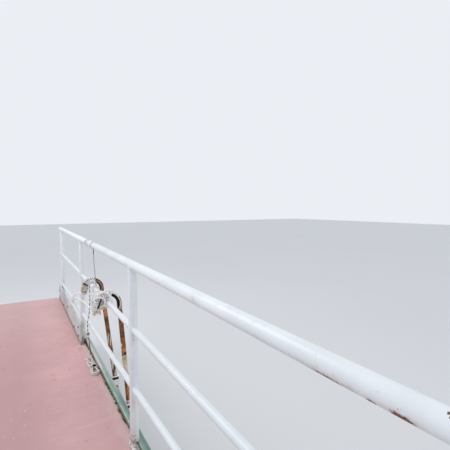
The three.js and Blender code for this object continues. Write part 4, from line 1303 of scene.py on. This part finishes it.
class SIDEDECK_OT_boarding_ladder(bpy.types.Operator):
    """Builds the rusty ladder with its hooks, rungs, welds and stand-off pads"""
    bl_idname = "side_deck.boarding_ladder"
    bl_label = "Boarding ladder"

    def execute(self, context):
        ladder = context.scene.side_deck_ladder
        rust = rust_finish(tuple(ladder.rust), tuple(ladder.scale))
        for side in STRINGERS:
            leg = self.stringer(side, ladder.tube_radius, rust)
            fit(leg, "ladder", "rusty_steel", f"ladder_stringer_{side}")
        beads = []
        bead, leg_face = ladder.rung_radius + 0.001, ladder.tube_radius + 0.0005
        for number, z in enumerate(RUNGS, 1):
            rung = self.rung(number, z, ladder.rung_radius, rust)
            fit(rung, "ladder", "rusty_steel", f"ladder_rung_{number}")
            for side, inward in (("near", 1), ("far", -1)):
                line = []
                for angle in round_about(26):
                    x = bead * math.cos(angle)
                    y = STRINGERS[side]["y"] + inward * math.sqrt(max(leg_face ** 2 - x * x, 0))
                    line.append(ON_LADDER @ Vector((leg_at(side, z) + x, y, z + bead * math.sin(angle))))
                beads.append(tube("rung_bead", line, 0.0040, rust, closed=True))
        beads = join(beads, "rung_welds")
        roughen(beads, 0.007, 0.0034)
        fit(beads, "ladder", "rusty_steel")
        self.pads(tuple(ladder.pad_colour))
        return {"FINISHED"}

    def stringer(self, side, radius, rust):
        """A pipe drawn from the hook's tip, round the hook and down the leg, in the ladder's own frame."""
        name, shape = f"stringer_{side}", STRINGERS[side]
        tip = on_hook(side, 180)
        leg_drop = LEG_LONG - 0.0012 - shape["drop"]
        deselect()
        bpy.ops.mesh.primitive_circle_add(vertices=28, radius=radius, fill_type="NGON",
                                          location=tip - Vector((0, 0, HOOK_TIP)))
        edit(settle(name, rust))
        bpy.ops.mesh.select_all(action="SELECT")
        bpy.ops.mesh.extrude_region_move(TRANSFORM_OT_translate={"value": (0, 0, HOOK_TIP)})
        centre = tip + Vector((shape["hook"], 0, 0))
        bpy.ops.mesh.spin(steps=26, angle=math.pi, center=centre, axis=(0, -1, 0))
        down_leg = (shape["splay"] * leg_drop, 0, -leg_drop)
        bpy.ops.mesh.extrude_region_move(TRANSFORM_OT_translate={"value": down_leg})
        bpy.ops.mesh.select_all(action="SELECT")
        bpy.ops.mesh.remove_doubles(threshold=1e-6)
        bpy.ops.mesh.normals_make_consistent(inside=False)
        bpy.ops.mesh.select_mode(type="EDGE")
        pick(lambda edge: abs(way(edge).z) > 0.99 and edge.calc_length() > 0.1, "edges")
        bpy.ops.mesh.subdivide(number_cuts=230)
        pick(lambda edge: abs(way(edge).z) > 0.99 and 0.03 < edge.calc_length() < 0.1, "edges")
        bpy.ops.mesh.subdivide(number_cuts=5)
        bpy.ops.mesh.select_mode(type="FACE")
        # Open ends: the bore at the leg's foot and at the hook's tip
        pick(lambda face: len(face.verts) > 8)
        bpy.ops.mesh.inset(thickness=0.0034, use_individual=True)
        bpy.ops.mesh.extrude_region_shrink_fatten(TRANSFORM_OT_shrink_fatten={"value": -0.02})
        if side == "near":
            # A hole rusted through the wall
            hole = Vector((leg_at(side, WALL_HOLE_Z) + 0.003, shape["y"] - 0.0165, WALL_HOLE_Z))
            pick(lambda face: (face.calc_center_median() - hole).length < 0.008)
            bpy.ops.mesh.inset(thickness=0.0008)
            bpy.ops.mesh.extrude_region_shrink_fatten(TRANSFORM_OT_shrink_fatten={"value": -0.0035})
        bpy.context.object.matrix_world = ON_LADDER
        roughen(settle(name), 0.020, 0.0018, 3)
        return settle(name, smooth=60)

    def rung(self, number, z, radius, rust):
        """A round bar between the stringers, in the ladder's own frame."""
        name = f"rung_{number}"
        rung = pipe(name, (leg_at("near", z), STRINGERS["near"]["y"] + 0.008, z),
                    (leg_at("far", z), STRINGERS["far"]["y"] - 0.008, z), radius, rust, sides=24, wall=0)
        divide(rung, 70, straight=0.95)
        rung.matrix_world = ON_LADDER
        roughen(settle(name), 0.020, 0.0016, 3)
        return settle(name, smooth=60)

    def pads(self, colour):
        """The stand-off pads under the strake, each with two grooves round its middle and a black band."""
        white = pad_finish(colour)
        black = plain_worn_finish("black_band", (0.009, 0.009, 0.010), 0.75, (0.04, 0.038, 0.036), 80.0)
        face = COAMING_OUT + 0.0007
        for side, shape in STRINGERS.items():
            y = shape["y"]
            low, high = (face, y - 0.022, DECK - 0.193), (face + 0.153, y + 0.022, DECK - 0.113)
            edit(block(f"pad_{side}", low, high, white, 0.005, 3), "EDGE")
            for z in (DECK - 0.150, DECK - 0.170):
                bpy.ops.mesh.select_mode(type="EDGE")
                bpy.ops.mesh.select_all(action="SELECT")
                bpy.ops.mesh.bisect(plane_co=(0, 0, z), plane_no=(0, 0, 1))
                bpy.ops.mesh.bevel(offset=0.0022, segments=2, affect="EDGES")
                bpy.ops.mesh.select_mode(type="VERT")
                pick(lambda vert: abs(vert.co.z - z) < 0.0004, "verts")
                bpy.ops.transform.resize(value=(0.984, 0.945, 1.0), center_override=(face + 0.0765, y, z))
            pad = settle(f"pad_{side}", smooth=35)
            low, high = (face - 0.0002, y - 0.0240, DECK - 0.142), (face + 0.142, y + 0.0240, DECK - 0.121)
            band = block(f"pad_band_{side}", low, high, black, 0.003, 3)
            fit(pad, "ladder", "pad_rubber", f"standoff_pad_{side}")
            fit(band, "ladder", "pad_rubber")


class SIDEDECK_OT_rope_lashings(bpy.types.Operator):
    """Winds the lashings round the hooks and the bars"""
    bl_idname = "side_deck.rope_lashings"
    bl_label = "Lashings"

    def execute(self, context):
        ropes = context.scene.side_deck_rope
        self.lay = ropes.lay
        self.white = rope_finish(tuple(ropes.white), "white_rope", 0.20)
        self.bar_wraps()

        # The near hook: turns along the bend, a ball of rope at the bar, loose bights and a tassel at the tip
        # The near ball's core is the white rope made darker: painted shade between its loops
        shaded = rope_finish(shade(tuple(ropes.white), 0.70), "shaded_rope", 0.4)
        made = [self.hook_turns("near_turns", "near", 68, 180, 0.020, 0.0232, 0.0064, 31, self.white)]
        made += self.ball("near", (-0.038, 0.018, 0.010), (0.044, 0.044, 0.040), 9, 0.0066, self.white,
                          shaded)
        made += self.bights("near", (0.0084, 0.0072, 0.0072))
        fit(join(made, "hook_rope_near"), "ladder", "rope", "hook_lashing_near")
        self.tassel()

        # The far hook: white turns on the bend, a dark turn after them that stands for painted shade, an
        # older tan rope knotted at the tip, and two bights inside
        brown = rope_finish(tuple(ropes.brown), "brown_rope", 0.62, spotted=True)
        # A dark olive rope turn: painted shade between the white turns and the tan knot
        olive = rope_finish((0.20, 0.17, 0.10), "olive_rope", 0.5)
        # A dark core for the far ball of rope: painted shade in the gaps between its loops
        umber = rope_finish((0.24, 0.19, 0.14), "umber_rope", 0.4)
        made = [self.hook_turns("far_turns", "far", 74, 134, 0.0, 0.0222, 0.0056, 41, self.white),
                self.hook_turns("far_dark_turn", "far", 133, 141, 0.0, 0.0224, 0.0044, 43, olive),
                self.hook_turns("far_tip_turns", "far", 144, 180, 0.010, 0.0205, 0.0042, 42, brown)]
        made += self.ball("far", (-0.069, 0.0, 0.013), (0.025, 0.023, 0.025), 4, 0.0036, brown, umber)
        tip = on_hook("far", 180)
        steps, out = 22, 0.0205
        end_turns = [(tip.x + out * math.cos(a), out * math.sin(a), tip.z - 0.014 - 0.0083 * i / steps)
                     for i, a in enumerate(round_about(steps, int(2.6 * steps)))]
        made.append(self.strand("far_end_turns", "far", end_turns, 0.0042))
        made += self.bights("far", (0.0072, 0.0056))
        fit(join(made, "hook_rope_far"), "ladder", "rope", "hook_lashing_far")
        return {"FINISHED"}

    def bar_wraps(self):
        """The wrapping on the middle bar and the hitches that the cords and ropes end in."""
        cream, twisted = bpy.data.materials["cream_rope"], bpy.data.materials["twisted_cord"]
        pale = rope_finish((0.96, 0.95, 0.96), "pale_cord", 0.05, 600.0)
        rows = (
            ("main_turns", "rail_lashing_main", "rope", mid_bar_z, -0.153, -0.043, 0.0236, 8.2, 0.0012,
             0.0066, self.white, 3),
            ("cord_turns", "cord_hitch", "dark_cord", mid_bar_z, 0.4535, 0.4745, 0.0197, 4.3, 0.0003,
             0.0027, twisted, 2),
            ("lanyard_turns", "lanyard_hitch", "dark_cord", top_rail_z, 0.2425, 0.2565, 0.0258, 3.4, 0.0002,
             0.0021, pale, 3),
            ("guy_turns", "guy_hitch", "rope", low_bar_z, 1.503, 1.557, 0.0209, 5.4, 0.0005,
             0.0040, cream, 3),
        )
        for seed, (name, node, slot, bar, start, end, out, turns, loose, *kind) in enumerate(rows, 3):
            radius, finish, strands = kind
            line = wound(bar, start, end, out, turns, loose, seed)
            around = 6 if strands == 3 else 8
            made = [rope(name, line, radius, finish, strands, self.lay, around)]
            if name == "main_turns":
                made += self.crossings()
            fit(join(made, name), "section", slot, node)

    def crossings(self):
        """Second layer on the main lashing: a few long crossing turns and a knot on the inboard side."""
        made = []
        for start, end, turns, seed in ((-0.150, -0.060, 2.5, 21), (-0.052, -0.140, 3.0, 22)):
            line = wound(mid_bar_z, start, end, 0.0310, turns, 0.004, seed)
            made.append(rope(f"crossing_{seed}", line, 0.0058, self.white, 3, self.lay))
        knot = []
        for t in round_about(90):
            swing = 0.008 * math.cos(3 * t)
            knot.append(Vector((RAIL_X - 0.034 + swing + 0.004 * math.sin(3 * t),
                                -0.078 + (0.022 + swing) * math.cos(2 * t),
                                MID_Z - 0.004 + (0.022 + swing) * math.sin(2 * t))))
        made.append(rope("lashing_knot", knot, 0.0062, self.white, 3, self.lay))
        return made

    def strand(self, name, side, points, radius):
        """A rope through points given beside a stringer's place in the ladder's frame."""
        y = STRINGERS[side]["y"]
        line = smooth_line([ON_LADDER @ Vector((p[0], y + p[1], p[2])) for p in points], 0.0045)
        return rope(name, line, radius, self.white, 3, self.lay)

    def bights(self, side, radii):
        """The loose bights over one hook."""
        return [self.strand(f"{side}_bight_{i}", side, points, radius)
                for i, (points, radius) in enumerate(zip(BIGHTS[side], radii))]

    def hook_turns(self, name, side, start, end, below, out, radius, seed, finish):
        """A rope wound round a hook between two angles, and on down to a way below its centre."""
        bend = STRINGERS[side]["hook"]
        arc = bend * math.radians(end - start)
        turns = (arc + below) / (2.02 * radius)
        steps = 22
        wander = unevenness(turns, seed)
        line = []
        for i in range(int(turns * steps) + 1):
            turn = i / steps
            run = (arc + below) * i / (turns * steps)
            angle = 2 * math.pi * turn
            reach = out + 0.0011 * (1 + wander(turn))
            degrees = start + math.degrees(min(run, arc) / bend) + (0.8 * wander(turn) if run < arc else 0)
            spot = on_hook(side, degrees, reach * math.cos(angle), reach * math.sin(angle))
            line.append(ON_LADDER @ (spot - Vector((0, 0, max(0.0, run - arc)))))
        return rope(name, line, radius, finish, 3, self.lay)

    def ball(self, side, centre, half, loops, radius, finish, core_finish):
        """Loops of rope wound on a rounded core, each on a circle turned a little further."""
        at = Vector(centre) + Vector((0, STRINGERS[side]["y"], 0))
        inner = [h - 2 * radius for h in half]
        deselect()
        bpy.ops.mesh.primitive_ico_sphere_add(subdivisions=3, radius=1.0, location=at)
        bpy.context.object.scale = [h + 0.3 * radius for h in inner]
        core = settle("knot_core", core_finish)
        core.matrix_world = ON_LADDER
        core = settle("knot_core", smooth=60)
        line = []
        for t in round_about(26, loops * 26 + 1):
            round_it = Vector((math.cos(t), math.sin(t) * math.cos(1.15), math.sin(t) * math.sin(1.15)))
            round_it.rotate(Matrix.Rotation(t * 0.137, 3, "Z"))
            round_it.rotate(Matrix.Rotation(0.5, 3, "Y"))
            reach = 1.0 + 0.05 * math.sin(2.3 * t)
            spot = Vector([(h + radius) * reach * share for h, share in zip(inner, round_it)])
            line.append(ON_LADDER @ (at + spot))
        return [core, rope("knot_loops", line, radius, finish, 3, 3.2)]

    def tassel(self):
        """Loose strands that hang at the near hook's tip, white above and yellowed at their ends."""
        yellowed = rope_finish((0.74, 0.63, 0.34), "yellowed_strands", 0.4, 600.0)
        dice = random.Random(17)
        for name, count, finish, top_z, low_z, mid_x, mid_y, spread in (
                ("tassel_strands", 64, self.white, 0.012, -0.052, -0.076, -0.002, 1.0),
                ("tassel_ends", 34, yellowed, -0.036, -0.074, -0.078, 0.000, 1.0),
                ("loose_ends", 22, yellowed, -0.006, -0.040, -0.034, -0.012, 0.55)):
            centre = Vector((mid_x, STRINGERS["near"]["y"] + mid_y, 0))
            made = []
            for i in range(count):
                a = dice.uniform(0, 2 * math.pi)
                wide = (0.0150 + dice.uniform(0.0, 0.0085)) * spread
                low = low_z + dice.uniform(-0.006, 0.014)
                flare = dice.uniform(1.0, 1.35)
                flared = flare * wide
                start = centre + Vector((wide * math.cos(a), wide * math.sin(a), top_z))
                end = centre + Vector((flared * math.cos(a + 0.2), flared * math.sin(a + 0.2), low))
                sway = Vector((dice.uniform(-0.003, 0.003), dice.uniform(-0.003, 0.003), 0))
                bow = (start + end) / 2 + sway
                line = smooth_line([ON_LADDER @ p for p in (start, bow, end)], 0.010)
                made.append(tube(f"{name}_{i}", line, dice.uniform(0.0012, 0.0021), finish, sides=6))
            fit(join(made, name), "ladder", "rope")


class SIDEDECK_OT_chips(bpy.types.Operator):
    """Scatters flakes of old paint on the deck, most of them along the coaming"""
    bl_idname = "side_deck.chips"
    bl_label = "Paint chips"

    def execute(self, context):
        dice = random.Random(8)
        pale = plain_worn_finish("paint_chips", (0.70, 0.66, 0.62), 0.8, (0.45, 0.34, 0.28), 150.0)
        deselect()
        bpy.ops.mesh.primitive_cylinder_add(vertices=5, radius=1.0, depth=1.0)
        pattern = settle("chip_pattern", pale)
        places = [(x, y, 0.0055) for x, y in LARGE_CHIPS]
        for x, y in CHIP_HEAPS:
            places += [(x + dice.gauss(0, 0.008), y + dice.gauss(0, 0.014), dice.uniform(0.0045, 0.0085))
                       for _ in range(4)]
        for _ in range(context.scene.side_deck_plates.chips):
            near_edge = dice.random() < 0.55
            x = COAMING_IN - 0.01 - abs(dice.gauss(0, 0.045)) if near_edge else dice.uniform(0.03, 0.90)
            places.append((x, dice.uniform(-HALF + 0.02, HALF - 0.02), dice.uniform(0.0012, 0.0040)))
        rows = []
        for x, y, size in places:
            if y > 0.76 and 0.845 < x < 0.885:
                x = 0.840    # beside the toe board, not under it
            rows.append(((size * dice.uniform(0.5, 1.3), size, 0.0007),
                         (dice.uniform(-0.16, 0.16), dice.uniform(-0.16, 0.16), dice.uniform(0, 6.3)),
                         (x, y, DECK + 0.0010)))
        fit(scattered(pattern, "paint_chips", rows), "section", "rail_paint")
        return {"FINISHED"}


class SIDEDECK_PT_panel(bpy.types.Panel):
    """Lists the pieces of the side deck and their sizes and colours"""
    bl_label = "Side deck"
    bl_idname = "SIDEDECK_PT_panel"
    bl_space_type = "VIEW_3D"
    bl_region_type = "UI"
    bl_category = "Side deck"

    def draw(self, context):
        for operator in OPERATORS:
            self.layout.operator(operator.bl_idname)
        for group in GROUPS:
            box = self.layout.box()
            for name in GROUPS[group].__annotations__:
                box.prop(getattr(context.scene, group), name)


OPERATORS = (
    SIDEDECK_OT_stage, SIDEDECK_OT_loose_cords, SIDEDECK_OT_deck_and_edge, SIDEDECK_OT_guard_rail,
    SIDEDECK_OT_toe_board, SIDEDECK_OT_boarding_ladder, SIDEDECK_OT_rope_lashings, SIDEDECK_OT_chips,
)
GROUPS = {
    "side_deck_stage": StageSettings, "side_deck_plates": DeckSettings, "side_deck_rail": RailSettings,
    "side_deck_ladder": LadderSettings, "side_deck_rope": RopeSettings,
}


def register():
    for kind in (*GROUPS.values(), *OPERATORS, SIDEDECK_PT_panel):
        bpy.utils.register_class(kind)
    for name, group in GROUPS.items():
        setattr(bpy.types.Scene, name, PointerProperty(type=group))


def unregister():
    for name in GROUPS:
        delattr(bpy.types.Scene, name)
    for kind in reversed((*GROUPS.values(), *OPERATORS, SIDEDECK_PT_panel)):
        bpy.utils.unregister_class(kind)


def main():
    register()
    bpy.ops.side_deck.stage()
    bpy.ops.side_deck.loose_cords()
    bpy.ops.side_deck.deck_and_edge()
    bpy.ops.side_deck.guard_rail()
    bpy.ops.side_deck.toe_board()
    bpy.ops.side_deck.boarding_ladder()
    bpy.ops.side_deck.rope_lashings()
    bpy.ops.side_deck.chips()
    deselect()


if __name__ == "__main__":
    main()
